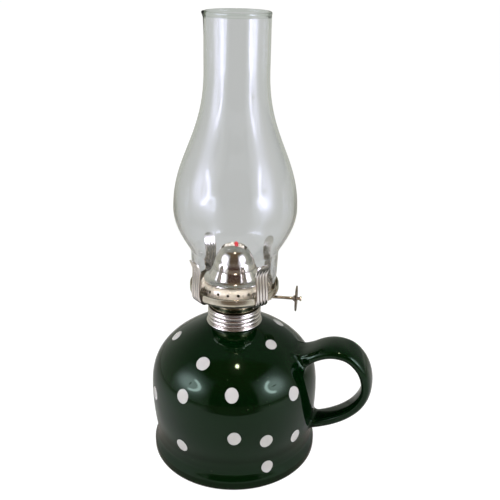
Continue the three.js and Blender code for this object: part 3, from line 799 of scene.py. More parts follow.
def rounded_block(name, size, place, radius, segments):
    """A block with its four upright edges rounded."""
    deselect()
    bpy.ops.mesh.primitive_cube_add(size=1, location=place)
    obj = named(name)
    obj.scale = size
    settle(obj)
    edit(obj)
    bpy.ops.mesh.select_mode(type="EDGE")
    take_none()
    leave()
    for line in obj.data.edges:
        a, b = (obj.data.vertices[i].co for i in line.vertices)
        if (a - b).xy.length < WELD:
            line.select = True
    enter()
    bpy.ops.mesh.bevel(offset=radius, segments=segments, affect="EDGES")
    leave()
    return obj


def drill(obj, radius, length, places):
    """Cuts round holes; each place is a centre and the direction of its hole."""
    bits = []
    for centre, direction in places:
        deselect()
        bpy.ops.mesh.primitive_cylinder_add(
            vertices=20,
            radius=radius,
            depth=length,
            location=centre,
            rotation=Vector(direction).to_track_quat("Z", "Y").to_euler(),
        )
        bits.append(bpy.context.active_object)
    for bit in bits:
        settle(bit)
    cut(obj, join(bits))


# Font


class LAMP_OT_font(bpy.types.Operator):
    """Build the hollow glazed font with its loop handle and painted dots"""

    bl_idname = "lamp.font"
    bl_label = "Font"

    turns = 72
    # In millimetres: the neck's bore, the hollow under the foot and the cavity's floor
    bore = 12.6
    sole_height = 1.5
    floor_height = 6
    # In metres: the wall, the foot's rounding, and a height between the handle's roots
    wall = 4.6 * MM
    toe_radius = 3.7 * MM
    toe_inset = 4.6 * MM
    halfway = 60 * MM

    def outline(self):
        """From the middle of the sole, up the outside, over the neck and down the cavity."""
        flare, side, shoulder = skin_curves()
        foot = bpy.context.scene.lamp_font.foot_radius
        sole = mm(*[(r, self.sole_height) for r in (0, 16, 34, 47)])
        sole += mm((51.5, 1.3), (53.2, 0.4), (54.4, 0.02))
        sole += [(foot - self.toe_inset, 0.0)]
        toe = arc((foot - self.toe_radius, self.toe_radius), self.toe_radius, -80, 0, 5)
        toe += [(foot, 5.6 * MM)]
        neck = mm((17.6, 106.1), (16.4, 106.5), (16.4, 108), (16.2, 109.6))
        neck += mm((self.bore + 0.3, 109.6), (self.bore, 109.2))
        inner = shifted(without_repeats(side + shoulder), self.wall)
        inner = [p for p in inner if p[0] > 14 * MM][::-2]
        floor = arc((45.5 * MM, 15 * MM), 9 * MM, 0, -90, 4)
        floor += mm(*[(r, self.floor_height) for r in (30, 14, 0)])
        throat = (self.bore * MM, inner[0][1] + 0.6 * MM)
        cavity = [throat, *inner, *floor]
        return without_repeats([*sole, *toe, *flare, *side, *shoulder, *neck, *cavity])

    def execute(self, context):
        body = turned("font", self.outline(), self.turns)
        self.open_roots(body)
        font = join([body, self.strap()])
        self.bridge(font, lambda point: point.z > self.halfway)
        self.bridge(font, lambda point: point.z < self.halfway)
        finish_modifier(font, "SUBSURF", levels=1, render_levels=1)
        dress(font, "font", "glaze", ["font_body"], 50)
        return {"FINISHED"}

    # Where the handle lands: the reach in azimuth, in degrees, and the span of heights of
    # each root, in millimetres
    roots = ((15.1, 76.0, 91.5), (10.1, 24.4, 37.0))

    def open_roots(self, body):
        """Opens the outer skin where the handle lands."""

        def lands(centre, normal):
            if normal.dot(centre) < 0:
                return False
            azimuth = abs(math.degrees(math.atan2(centre.y, centre.x)))
            outside = centre.xy.length > skin_at(centre.z)[0] - 1.5 * MM
            return outside and any(
                azimuth < reach and low * MM < centre.z < high * MM
                for reach, low, high in self.roots
            )

        select_faces(body, lands)
        bpy.ops.mesh.delete(type="FACE")
        leave()

    # The strap's centre line, width and thickness, in millimetres, from the upper root down
    stations = [
        (60.5, 88.4, 26.4, 9.0),
        (65.1, 90.9, 26.0, 9.3),
        (70.8, 93.0, 26.0, 9.5),
        (77.2, 93.6, 26.0, 9.5),
        (84.7, 92.2, 25.8, 9.3),
        (90.6, 88.1, 25.5, 8.9),
        (95.7, 81.4, 24.6, 8.4),
        (98.6, 73.0, 23.4, 8.1),
        (99.2, 65.6, 22.1, 8.0),
        (97.8, 58.5, 20.8, 8.0),
        (94.0, 50.8, 19.7, 8.0),
        (88.3, 44.2, 18.7, 8.0),
        (81.0, 38.5, 18.0, 8.3),
        (73.1, 34.3, 17.7, 8.4),
        (68.0, 32.2, 17.9, 8.2),
        (65.2, 31.2, 18.4, 8.0),
    ]
    ring_count = 20
    # The power of the strap's section: 2 is an ellipse, more is nearer a box
    squareness = 2.7

    def strap(self):
        """A ring of points, extruded from station to station along the handle."""
        line = spline(self.stations, 2)
        deselect()
        bpy.ops.mesh.primitive_circle_add(vertices=self.ring_count, radius=1, location=(0, 0, 0))
        obj = named("strap")
        edit(obj)
        for _ in line[1:]:
            take_none()
            leave()
            count = len(obj.data.vertices)
            for point in obj.data.vertices[count - self.ring_count :]:
                point.select = True
            enter()
            bpy.ops.mesh.extrude_region_move(TRANSFORM_OT_translate={"value": (0, 0, 0)})
        leave()
        power = 2 / self.squareness
        for k, (x, z, width, thickness) in enumerate(line):
            along = along_at(line, k)
            normal = Vector((-along.y, 0, along.x))
            for j in range(self.ring_count):
                angle = math.tau * (j + 0.5) / self.ring_count
                c, s = math.cos(angle), math.sin(angle)
                across = math.copysign(abs(c) ** power, c) * width / 2
                out = math.copysign(abs(s) ** power, s) * thickness / 2
                place = Vector((x, across, z)) + normal * out
                obj.data.vertices[k * self.ring_count + j].co = place * MM
        obj.data.update()
        return obj

    def bridge(self, font, half):
        """Joins an end of the strap to the opening cut for it in the wall."""
        edit(font)
        take_all()
        bpy.ops.mesh.select_non_manifold(extend=False, use_wire=False, use_multi_face=False)
        bpy.ops.mesh.select_mode(type="EDGE")
        leave()
        for line in font.data.edges:
            a, b = (font.data.vertices[i].co for i in line.vertices)
            if line.select and not (half(a) and half(b)):
                line.select = False
        for point in font.data.vertices:
            if not half(point.co):
                point.select = False
        enter()
        bpy.ops.mesh.bridge_edge_loops(
            type="SINGLE",
            number_cuts=3,
            interpolation="SURFACE",
            smoothness=0.8,
            profile_shape_factor=0.0,
        )
        face_outwards()
        leave()


# Collar and burner sheet metal


class LAMP_OT_collar(bpy.types.Operator):
    """Build the plated screw collar with its rolled ridges"""

    bl_idname = "lamp.collar"
    bl_label = "Screw collar"

    def execute(self, context):
        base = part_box("collar")[0].z / MM
        top = COLLAR_TOP / MM
        ridge_r, groove_r, bore_r, flange_r = 19.25, 18.4, 18.05, 20.15
        start, end = base + 1.7, top - 1.3
        pitch = (end - start) / 3
        line = [(bore_r, base), (flange_r - 0.35, base)]
        line += arc((flange_r - 0.6, base + 0.6), 0.6, -60, 80, 5)
        line += [(groove_r + 0.9, base + 1.35), (groove_r + 0.2, base + 1.55)]
        for ridge in range(3):
            for step in range(10):
                share = step / 10
                swell = math.sin(math.pi * share) ** 0.5
                radius = groove_r + (ridge_r - groove_r) * swell
                line.append((radius, start + (ridge + share) * pitch))
        line.append((groove_r, end))
        line += arc((ridge_r - 0.75, top - 0.6), 0.6, -50, 90, 6)
        line += [(bore_r + 0.2, top), (bore_r, top - 0.3), (bore_r, base + 6), (bore_r, base)]
        collar = turned("screw_collar", mm(*line), FINE_TURN)
        dress(collar, "font", "collar", ["collar"])
        return {"FINISHED"}


class LAMP_OT_shell(bpy.types.Operator):
    """Build the threaded sleeve that screws into the collar"""

    bl_idname = "lamp.screw_shell"
    bl_label = "Screw shell"

    # The thread's pitch and depth, and where its lowest turn starts
    pitch = 1.85
    depth = 0.45
    thread_foot = -7.9

    def execute(self, context):
        outer, inner, lip = 17.8, 17.1, 15.6
        root = outer - self.depth
        line = [(lip, -8.4), (outer - 0.6, -8.4), (root, -8.1)]
        for turn in range(4):
            for step in range(8):
                share = step / 8
                swell = 0.5 - 0.5 * math.cos(math.tau * share)
                height = self.thread_foot + (turn + share) * self.pitch
                line.append((root + self.depth * swell, height))
        line += [(outer - 0.3, -0.4), (outer, -0.2), (outer, 0), (inner, 0), (inner, -3.6)]
        line += [(inner, -7.6), (lip, -7.6), (lip, -8.4)]
        shell = turned("screw_shell_threaded", mm(*line), PLAIN_TURN)
        self.lean(shell)
        fit_to_burner(shell, "nickel", "screw_shell")
        return {"FINISHED"}

    def lean(self, shell):
        """Drops the thread by one pitch over a turn, so that the rings become a screw."""
        pitch = self.pitch * MM
        low, high = self.thread_foot * MM, -0.5 * MM
        for point in shell.data.vertices:
            z = point.co.z
            if point.co.xy.length > 17.2 * MM and low + 0.05 * MM < z < high - 0.2 * MM:
                turn = (math.atan2(point.co.y, point.co.x) / math.tau) % 1.0
                ease = min(1.0, (z - low) / pitch, (high - z) / pitch)
                point.co.z -= pitch * (turn - 0.5) * max(ease, 0.0) * 0.9
        shell.data.update()


class LAMP_OT_cup(bpy.types.Operator):
    """Build the coved neck of the burner"""

    bl_idname = "lamp.burner_cup"
    bl_label = "Burner cup"

    def execute(self, context):
        cove = [(17.5, 0.75), (18.0, 1.6), (18.5, 2.8), (19.2, 4.3)]
        cove += [(20.2, 6.0), (21.5, 7.8), (22.9, 9.0)]
        line = mm((15.4, 0.7), (16.6, 0.7), *spline(cove, 3), (24.6, 9.4))
        cup = turned_sheet("coved_neck", line, 0.7 * MM, 0.12 * MM)
        bore = (20.5 * MM, SHAFT_OFFSET, SHAFT_HEIGHT)
        drill(cup, 1.55 * MM, 12 * MM, [(bore, (1, 0, 0))])
        fit_to_burner(cup, "aged", "burner_cup")
        return {"FINISHED"}


# Where the prongs' tongues stand in their slots
TONGUE_RADIUS = 25.95 * MM


def prong_turn(index):
    """The azimuth of a prong in the burner's own frame."""
    return math.tau * (index + 0.5) / 4


def prong_slots(obj, low, high):
    """Cuts the four slots that the prongs' tongues pass through."""
    blocks = []
    size = (2 * MM, 8.4 * MM, high - low)
    middle = (TONGUE_RADIUS, 0, (high + low) / 2)
    for i in range(4):
        block = rounded_block(f"slot_{i}", size, middle, 0.3 * MM, 2)
        block.rotation_euler.z = prong_turn(i)
        settle(block)
        blocks.append(block)
    cut(obj, join(blocks))


class LAMP_OT_gallery(bpy.types.Operator):
    """Build the gallery pan with its prong slots and air vents"""

    bl_idname = "lamp.gallery"
    bl_label = "Gallery"

    def execute(self, context):
        floor = 10.5
        line = [(22, floor), (24.2, floor)]
        line += cubic((25.4, floor), (29.2, 10.7), (31.5, 12.7), (31.5, 14.9), 16)
        lip = [(31.49, 15.6), (31.42, 16.4), (31.3, 17.2)]
        lip += [(31.22, 17.8), (31.26, 18.2), (31.4, 18.5)]
        line += spline(lip, 3)
        pan = turned_sheet("gallery_pan", mm(*line), 0.8 * MM, 0.2 * MM)
        prong_slots(pan, 9.0 * MM, 14.0 * MM)
        vents = []
        for quarter in range(4):
            for place in (-1, 0, 1):
                angle = math.tau * quarter / 4 + place * math.radians(20)
                vents.append((polar(26.2 * MM, angle, floor * MM), (0, 0, 1)))
        drill(pan, 1.1 * MM, 3 * MM, vents)
        fit_to_burner(pan, "pan", "gallery")
        return {"FINISHED"}


class LAMP_OT_screen(bpy.types.Operator):
    """Build the perforated cone that spreads the air inside the gallery"""

    bl_idname = "lamp.air_screen"
    bl_label = "Air screen"

    def execute(self, context):
        low, top = 13.6, 21.2
        hole_r, hole_z, hole_count = 23.5, 18.16, 21
        cone = [(24.9, low + 0.15), (24.2, low + 2.05), (hole_r, hole_z)]
        cone += [(22.5, 20.1), (20.9, 21.0), (19.4, top)]
        line = [(30.4, low), (28, low), (26, low), *spline(cone, 4), (16, top), (11.6, top)]
        screen = turned_sheet("pierced_screen", mm(*line), 0.6 * MM, 0.12 * MM)
        prong_slots(screen, 12.0 * MM, 14.8 * MM)
        holes = []
        # The cone's wall leans in by this much where it is pierced
        lean = math.atan2(4.3, 7.6)
        for i in range(hole_count):
            angle = (i + 0.68) * math.tau / hole_count
            centre = polar(hole_r * MM, angle, hole_z * MM)
            holes.append((centre, polar(math.cos(lean), angle, math.sin(lean))))
        drill(screen, 1.0 * MM, 3 * MM, holes)
        fit_to_burner(screen, "screen", "air_screen")
        return {"FINISHED"}


class LAMP_OT_prongs(bpy.types.Operator):
    """Build the four fluted spring prongs, folded through the gallery's slots"""

    bl_idname = "lamp.prongs"
    bl_label = "Prongs"

    # Radius, height, half width and flute depth in millimetres, from the tongue to the tip
    stations = [
        (24.55, 19.3, 2.4, 0),
        (24.75, 18.6, 3.6, 0),
        (25.0, 17.6, 3.8, 0),
        (25.75, 15.6, 3.8, 0),
        (25.95, 14.2, 3.8, 0),
        (25.95, 12.0, 3.8, 0),
        (25.95, 9.9, 3.8, 0),
        (26.2, 9.35, 3.8, 0),
        (27.0, 9.35, 4.3, 0.1),
        (28.6, 9.85, 4.8, 0.35),
        (30.5, 11.0, 5.0, 0.36),
        (31.95, 12.8, 5.0, 0.36),
        (32.7, 14.9, 5.0, 0.36),
        (32.85, 16.8, 5.0, 0.36),
        (32.85, 18.8, 5.0, 0.36),
        (32.7, 22.0, 5.0, 0.36),
        (32.35, 26.2, 5.0, 0.36),
        (31.9, 30.2, 5.0, 0.36),
        (31.68, 33.2, 5.0, 0.4),
        (31.72, 34.3, 5.0, 0.36),
        (31.85, 35.2, 5.05, 0.34),
        (32.1, 36.4, 5.1, 0.28),
        (32.65, 38.2, 5.15, 0.04),
        (33.45, 40.0, 4.95, 0),
        (34.4, 41.6, 4.2, 0),
        (35.3, 42.8, 2.9, 0),
        (35.95, 43.4, 1.2, 0),
    ]
    bands = 4
    columns = 40
    sheet = 0.6 * MM

    def execute(self, context):
        rows = spline(self.stations, 2)
        deselect()
        bpy.ops.mesh.primitive_grid_add(
            x_subdivisions=self.columns, y_subdivisions=len(rows) - 1, size=MM, location=(0, 0, 0)
        )
        strip = named("prong_strip")
        self.form(strip, rows)
        finish_modifier(strip, "SOLIDIFY", thickness=self.sheet, offset=0, use_even_offset=False)
        edit(strip)
        face_outwards()
        leave()
        for i in range(4):
            prong = copy_of(strip, f"fluted_prong_{i + 1}")
            fit_to_burner(prong, "spring", f"prong_{i + 1}", 40, prong_turn(i))
        bpy.data.objects.remove(strip)
        return {"FINISHED"}

    def band_rise(self, place):
        """The height of a slightly crowned band between two narrow grooves, from 0 to 1."""
        groove = min(place % 1, 1 - place % 1)
        wall = 1 - (1 - min(groove / 0.2, 1)) ** 2
        crown = 1 - (2 * groove - 1) ** 2
        return 0.85 * wall + 0.15 * crown

    def form(self, strip, rows):
        """Presses the flutes into the blank and folds it along its side view."""
        wide = self.columns + 1
        for k, (r, z, half, depth) in enumerate(rows):
            along = along_at(rows, k)
            for i in range(wide):
                share = 2 * i / self.columns - 1
                flute = (self.band_rise((share + 1) * self.bands / 2) - 0.5) * depth
                place = (r - along.y * flute, half * share, z + along.x * flute)
                strip.data.vertices[k * wide + i].co = Vector(place) * MM
        strip.data.update()


class LAMP_OT_dome(bpy.types.Operator):
    """Build the polished deflector dome with its slot for the flame"""

    bl_idname = "lamp.deflector_dome"
    bl_label = "Deflector dome"

    def execute(self, context):
        # The outline is in shares of the lip's radius and of the dome's rise
        lip_r, lip_z, rise = 21.3, 22.3, 24.1
        flank = [(1, 0), (0.985, 0.02), (0.93, 0.038), (0.875, 0.07), (0.83, 0.115), (0.8, 0.17)]
        flank += [(0.765, 0.24), (0.728, 0.33), (0.722, 0.345)]
        crown = [(0.702, 0.36), (0.694, 0.4), (0.672, 0.49), (0.64, 0.575), (0.6, 0.65)]
        crown += [(0.568, 0.69), (0.498, 0.806), (0.418, 0.893), (0.33, 0.945), (0.2, 0.982)]
        crown += [(0.1, 0.997), (0.0, 1.0)]
        shares = spline(flank, 4) + spline(crown, 4)
        line = mm(*[(out * lip_r, lip_z + up * rise) for out, up in shares])
        dome = turned_sheet("polished_dome", line, 0.6 * MM, 0.1 * MM)
        size = (17.8 * MM, 5.4 * MM, 12 * MM)
        cut(dome, rounded_block("flame_slot", size, (0, 0, 46 * MM), 1.62 * MM, 5))
        fit_to_burner(dome, "nickel", "deflector_dome", 30)
        return {"FINISHED"}


# Shaft and thumb wheel


def set_on_shaft(obj, reach=0.0):
    """Lays a piece made round the Z axis along the shaft, this far out from the wick."""
    obj.rotation_euler.y = math.radians(90)
    obj.location = (reach, SHAFT_OFFSET, SHAFT_HEIGHT)
    settle(obj)
    set_on_burner(obj)


class LAMP_OT_shaft(bpy.types.Operator):
    """Build the thumb wheel's shaft and its riveted end"""

    bl_idname = "lamp.wick_shaft"
    bl_label = "Wick shaft"

    def execute(self, context):
        r, inner_end, outer_end = 1.15, -9.6, 48.1
        line = [(0, inner_end), (r - 0.2, inner_end), (r, inner_end + 0.2)]
        line += [(r, 20), (r, 40), (r, 46.6), (1.3, 46.9)]
        line += arc((1.05, 47.55), 0.8, -50, 60, 6)
        line += [(0.9, outer_end), (0, outer_end)]
        shaft = turned("turning_shaft", mm(*line), SMALL_TURN)
        set_on_shaft(shaft)
        dress(shaft, "wick_shaft", "brass", ["wick_shaft"])
        return {"FINISHED"}


class LAMP_OT_wheel(bpy.types.Operator):
    """Build the pierced thumb wheel with its knurled edge"""

    bl_idname = "lamp.thumb_wheel"
    bl_label = "Thumb wheel"

    # In millimetres, with the wheel's reach along the shaft
    reach = 44.4
    radius = 9.2
    thickness = 1.1
    teeth = 28
    # Two rings of holes: how many, their ring's radius, the share of a step by which the
    # ring is turned, and their own radius
    rings = ((7, 4.3, 0.0, 1.3), (14, 7.1, 0.5, 0.75))

    def execute(self, context):
        deselect()
        bpy.ops.mesh.primitive_circle_add(vertices=self.teeth * 6, radius=1, fill_type="NGON")
        wheel = named("pierced_wheel")
        for point in wheel.data.vertices:
            angle = math.atan2(point.co.y, point.co.x)
            wave = (1 - math.cos(angle * self.teeth)) / 2
            lobe = (1 - math.cos(angle * self.teeth / 2)) / 2
            point.co = polar(self.radius - 0.28 * wave - 0.3 * lobe, angle) * MM
        finish_modifier(wheel, "SOLIDIFY", thickness=self.thickness * MM, offset=0)
        for count, radius, start, hole in self.rings:
            turns = [math.tau * (i + start) / count for i in range(count)]
            holes = [(polar(radius * MM, turn), (0, 0, 1)) for turn in turns]
            drill(wheel, hole * MM, 4 * MM, holes)
        hub = [(0, -2.4), (1.5, -2.4), (1.8, -2.25), (2.45, -0.7), (2.6, 0), (2.5, 0.7), (0, 0.75)]
        fuse(wheel, turned("hub", mm(*hub), SMALL_TURN))
        drill(wheel, 1.5 * MM, 10 * MM, [((0, 0, 0), (0, 0, 1))])
        ease_edges(wheel, 0.12 * MM)
        set_on_shaft(wheel, self.reach * MM)
        dress(wheel, "wick_shaft", "worn", ["thumb_wheel"], 30)
        return {"FINISHED"}


# Wick


class LAMP_OT_wick(bpy.types.Operator):
    """Build the woven cotton wick with its frayed top"""

    bl_idname = "lamp.wick"
    bl_label = "Wick"

    width = 16.0
    thickness = 2.8
    top = 42.4
    tail = -96.0

    def execute(self, context):
        size = (self.width * MM, self.thickness * MM, (self.top - self.tail) * MM)
        middle = (0, 0, (self.top + self.tail) / 2 * MM)
        tape = rounded_block("woven_wick", size, middle, 1.2 * MM, 4)
        self.slice(tape)
        self.fray(tape)
        set_on_burner(tape)
        dress(tape, "wick", "cotton", ["wick"], 60)
        return {"FINISHED"}

    def slice(self, tape):
        """Cuts the tape's faces across, closer together near its top."""
        edit(tape)
        for height in (self.top - 1.6, self.top - 0.8, 30.0, 0.0, -40.0):
            take_all()
            bpy.ops.mesh.bisect(plane_co=(0, 0, height * MM), plane_no=(0, 0, 1))
        leave()

    def fray(self, tape):
        """Short twisted ends of cotton that stand up out of the cut edge."""
        draw = random.Random(11)
        tufts = []
        columns, rows, clump = 22, 4, 3
        reach = self.width - 2.6
        # Each clump of a few columns in a row has its own length
        lengths = [draw.uniform(0.35, 1.2) for _ in range(columns // clump * rows + rows)]
        for i in range(columns):
            along = (i + 0.5) / columns * reach - reach / 2
            for row in range(rows):
                x = along + draw.uniform(-0.3, 0.3)
                crown = 1 - (abs(x) / (self.width / 2)) ** 2
                length = lengths[i // clump * rows + row]
                height = 2.6 + crown * draw.uniform(2.8, 4.0) * length
                y = (row - 1.5) * 0.6 + draw.uniform(-0.15, 0.15)
                # The tips lean to the front and stay inside the tube
                tip = draw.uniform(-0.2, 1.0) * (1.55 + y)
                lean = math.asin(max(tip, -0.3) / height)
                deselect()
                bpy.ops.mesh.primitive_cone_add(
                    vertices=7,
                    radius1=draw.uniform(0.45, 0.66) * MM,
                    radius2=draw.uniform(0.16, 0.36) * MM,
                    depth=height * MM,
                    location=(x * MM, (y - tip / 2) * MM, (self.top - 0.3 + height / 2) * MM),
                    rotation=(lean, draw.uniform(-0.12, 0.12), draw.uniform(0, 3)),
                )
                tufts.append(bpy.context.active_object)
        for end in tufts:
            settle(end)
        join([tape, *tufts])


# Chimney


class LAMP_OT_chimney(bpy.types.Operator):
    """Build the clear glass chimney with its bulge and melted rim"""

    bl_idname = "lamp.chimney"
    bl_label = "Chimney"

    # In millimetres: the heights of the foot and the rim, the radii of the foot, the waist,
    # the bulge and the tube, and the knot melted into the rim, by its place and its swell
    foot = 14.25
    rim = 201.6
    foot_r, waist_r, bulge_r, tube_r = 28.9, 30.6, 42.4, 21.3
    knot = (-16.4, -9.8, 1.6)
    # How far the chimney leans, in degrees
    askew = 0.7

    def execute(self, context):
        wall = context.scene.lamp_chimney.wall / MM
        base = (self.foot_r, self.foot)
        waist = (self.waist_r, self.foot + 29.8)
        bulge = (self.bulge_r, self.foot + 60.3)
        throat = (self.tube_r, self.foot + 152.3)
        skin = quadratic(base, (30.4, self.foot + 13.3), waist, 10)
        skin += cubic(waist, (33.5, self.foot + 36.3), (self.bulge_r, self.foot + 47.3), bulge, 20)
        skin += cubic(
            bulge, (self.bulge_r, self.foot + 96.3), (self.tube_r, self.foot + 109.3), throat, 30
        )
        skin += [(self.tube_r, z) for z in (self.foot + 163, self.foot + 174, self.rim - 2.6)]
        skin = without_repeats(skin)
        inner = shifted(skin, wall)[::-1]
        bead = arc((self.tube_r - wall / 2, self.rim), 1.2, -35, 215, 14)
        outline = mm(*skin, *bead, *inner[:-1], (self.foot_r - wall, self.foot), base)
        chimney = turned("glass_chimney", outline, FINE_TURN)
        self.melt(chimney)
        self.tilt(chimney)
        set_on_burner(chimney)
        dress(chimney, "chimney", "glass", ["chimney"], 60)
        return {"FINISHED"}

    def melt(self, chimney):
        """Swells the rim where the knot is, on the camera's left."""
        side, back, swell = self.knot
        turn = math.atan2(back, side) - BURNER_TURN
        heart = polar(self.tube_r, turn, self.rim) * MM
        spread = 3.2 * MM
        for point in chimney.data.vertices:
            near = math.exp(-(((point.co - heart).length / spread) ** 2))
            point.co += polar(1, turn, 0.3) * (swell * MM * near)
        chimney.data.update()

    def tilt(self, chimney):
        """Stands the chimney a little askew, over to the camera's right."""
        right = math.radians(LAMP_OT_camera.heading) - BURNER_TURN
        axis = polar(1, right + math.pi / 2)
        foot = Vector((0, 0, self.foot * MM))
        lean = Matrix.Rotation(math.radians(self.askew), 4, axis)
        chimney.matrix_world = Matrix.Translation(foot) @ lean @ Matrix.Translation(-foot)
        settle(chimney)


class LAMP_OT_inner_parts(bpy.types.Operator):
    """Give the burner's inner pieces their brass, plate and plaster finishes"""

    bl_idname = "lamp.inner_parts"
    bl_label = "Inner parts"

    finishes = {
        "collar_cement": "plaster",
        "burner_baffle": "nickel",
        "wick_tube": "brass",
        "sprocket_box": "brass",
        "shaft_ferrule": "brass",
        "spur_wheel_1": "brass",
        "spur_wheel_2": "brass",
        "spur_wheel_3": "brass",
    }

    def execute(self, context):
        for node, key in self.finishes.items():
            wear(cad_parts[node], key)
        return {"FINISHED"}


# Camera, floor and lights


class LAMP_OT_camera(bpy.types.Operator):
    """Set the camera where the photographed lamp was seen from"""

    bl_idname = "lamp.camera"
    bl_label = "Camera"

    # Metres, degrees, and the lens and its sensor in millimetres
    place = (0.12379, -0.45081, 0.3572)
    heading = 14.0
    pitch = 22.746
    roll = -0.45
    lens = 51.84
    sensor = 36

    def execute(self, context):
        deselect()
        bpy.ops.object.camera_add(location=self.place)
        camera = bpy.context.active_object
        camera.name = "camera"
        camera.data.sensor_width = self.sensor
        camera.data.lens = self.lens
        camera.data.clip_start = 0.01
        look = Matrix.Rotation(math.radians(self.heading), 4, "Z")
        look @= Matrix.Rotation(math.radians(90 - self.pitch), 4, "X")
        look @= Matrix.Rotation(math.radians(-self.roll), 4, "Z")
        camera.rotation_euler = look.to_euler()
        context.scene.camera = camera
        return {"FINISHED"}


class LAMP_OT_stage(bpy.types.Operator):
    """Set the pale floor, the soft lights and the white surroundings"""

    bl_idname = "lamp.stage"
    bl_label = "Stage"

    # The open side of the light tent, as an azimuth and half its width as an angle, and
    # where its paper floor ends there
    front = math.radians(-76)
    open_angle = math.radians(33)
    paper_end = 0.24
    floor_size = 60
    # How much light the surroundings send through the glass onto what stands in it
    glass_gain = 4.5
    white = (1.0, 1.0, 1.0, 1.0)
    # The height at which the lamps are aimed
    aim_height = 0.16

    cool, warm = (1.0, 1.0, 1.32, 1.0), (1.0, 0.84, 0.7, 1.0)
    # Each lamp's name, stand, cloth, middle, levels and colour, as lamp() takes them
    lamps = (
        ("left_softbox", (-63.3, 0.27, 0.42), 0.48, (1.25, 0.9, 0.36), (1.0, 3.3, 10.0), cool),
        ("right_softbox", (57.7, 0.27, 0.42), 0.48, (0.95, 1.05, 0.36), (1.0, 3.1, 11.0), cool),
        ("ceiling_lamp", (12, 1.7, 0.5), 0.8, (1, 1, 0.16), (0.4, 170.0, 0.0), warm),
    )

    def execute(self, context):
        self.floor()
        for settings in self.lamps:
            self.lamp(*settings)
        self.surroundings()
        context.scene.view_settings.view_transform = "Standard"
        return {"FINISHED"}

    def opening(self, nodes, way):
        """How far ahead and aside a direction or place lies, and the tent's open side.

        The last is a mask that is 1 in the open side, and 0 where the walls are.
        """
        ahead, aside = (
            nodes.node(
                "ShaderNodeVectorMath",
                {"operation": "DOT_PRODUCT"},
                {0: way, 1: polar(1.0, angle)},
                output="Value",
            )
            for angle in (self.front, self.front + math.pi / 2)
        )
        inside = ahead * math.tan(self.open_angle) - aside.size()
        return ahead, aside, nodes.ramp(inside, -0.05, 0.07)

    def kinds(self, nodes):
        """Masks for what the camera sees, what glass shows, reflections and scattered light."""
        camera, through, bounces, scatters = nodes.outputs(
            "ShaderNodeLightPath",
            "Is Camera Ray",
            "Is Transmission Ray",
            "Glossy Depth",
            "Diffuse Depth",
        )
        mirrored = bounces.least(1.0)
        return camera, through * (1 - mirrored), mirrored, scatters.least(1.0)

    def floor(self):
        """White paper to the camera; metal and glaze show where the paper ends."""
        stage = bpy.context.scene.lamp_stage
        deselect()
        bpy.ops.mesh.primitive_plane_add(size=self.floor_size, location=(0, 0, 0))
        floor = named("floor")
        finish = Finish("pale_floor", **{"Base Color": (0.72, 0.725, 0.64, 1.0), "Roughness": 0.8})
        camera, through, mirrored, scattered = self.kinds(finish)
        # Three quarters of this over the lit floor comes to white, and its shadow shows
        paper = finish.emission(self.white, 1.26)
        glass = finish.emission(opaque(stage.through_glass), 1 + scattered * self.glass_gain)
        table = finish.emission(opaque(stage.table))
        ahead, _, open_side = self.opening(finish, finish.where())
        beyond = finish.ramp(ahead, self.paper_end - 0.01, self.paper_end + 0.01) * open_side
        away = finish.length(finish.where())
        wall = finish.emission(opaque(stage.wall))
        # In a reflection: far off the walls rise, past its end lies the table, and close to
        # the foot the paper is in shade
        far_off = finish.ramp(away, 0.4, 1.1)
        shade = finish.ramp(away, 0.085, 0.066, 0.0, 0.7)
        surface = Wire(finish, finish.shader.outputs[0])
        surface = finish.blend(mirrored * far_off, surface, wall)
        surface = finish.blend(mirrored * beyond, surface, table)
        surface = finish.blend(mirrored * shade, surface, table)
        surface = finish.blend(camera * 0.75, surface, paper)
        finish.end("ShaderNodeOutputMaterial", finish.blend(through, surface, glass))
        floor.data.materials.append(finish.material)

    def lamp(self, name, stand, cloth, middle, levels, color):
        """A lamp behind a square cloth: a bright middle with an arc in it, in a wide faint glow.

        The stand is an azimuth in degrees from the open side, a height and a distance. The
        middle is its stretch across and up, and its radius as a share of the cloth. The
        levels are those of the glow, the middle and the arc.
        """
        azimuth, height, distance = stand
        stretch, rise, radius = middle
        deselect()
        bpy.ops.object.light_add(type="AREA", location=(0, 0, 0))
        lamp = bpy.context.active_object
        lamp.name = name
        lamp.data.shape = "SQUARE"
        lamp.data.size = cloth
        # At this power per area an emission strength of 1 is as bright as a white wall
        lamp.data.energy = math.pi * cloth**2 * bpy.context.scene.lamp_stage.lamp_level
        turn = self.front + math.radians(azimuth)
        lamp.location = polar(distance, turn, height)
        away = polar(distance, turn, height - self.aim_height)
        lamp.rotation_euler = away.to_track_quat("Z", "Y").to_euler()
        lamp.data.use_nodes = True
        nodes = Nodes(lamp.data.node_tree)
        (place,) = nodes.outputs("ShaderNodeNewGeometry", "Parametric")
        u, v, _ = nodes.spread(place)
        x, y = u - 0.5, v - 0.5
        wide, tall = x * 2, y * 2
        glow = (1 - wide * wide) * (1 - (tall * tall) * (tall * tall))
        glow_level, middle_level, arc_level = levels
        r = length_of(x / stretch, y / rise)
        if arc_level:
            strength = (glow + nodes.ramp(r, 0.5, 0.0) * 2.0) * glow_level
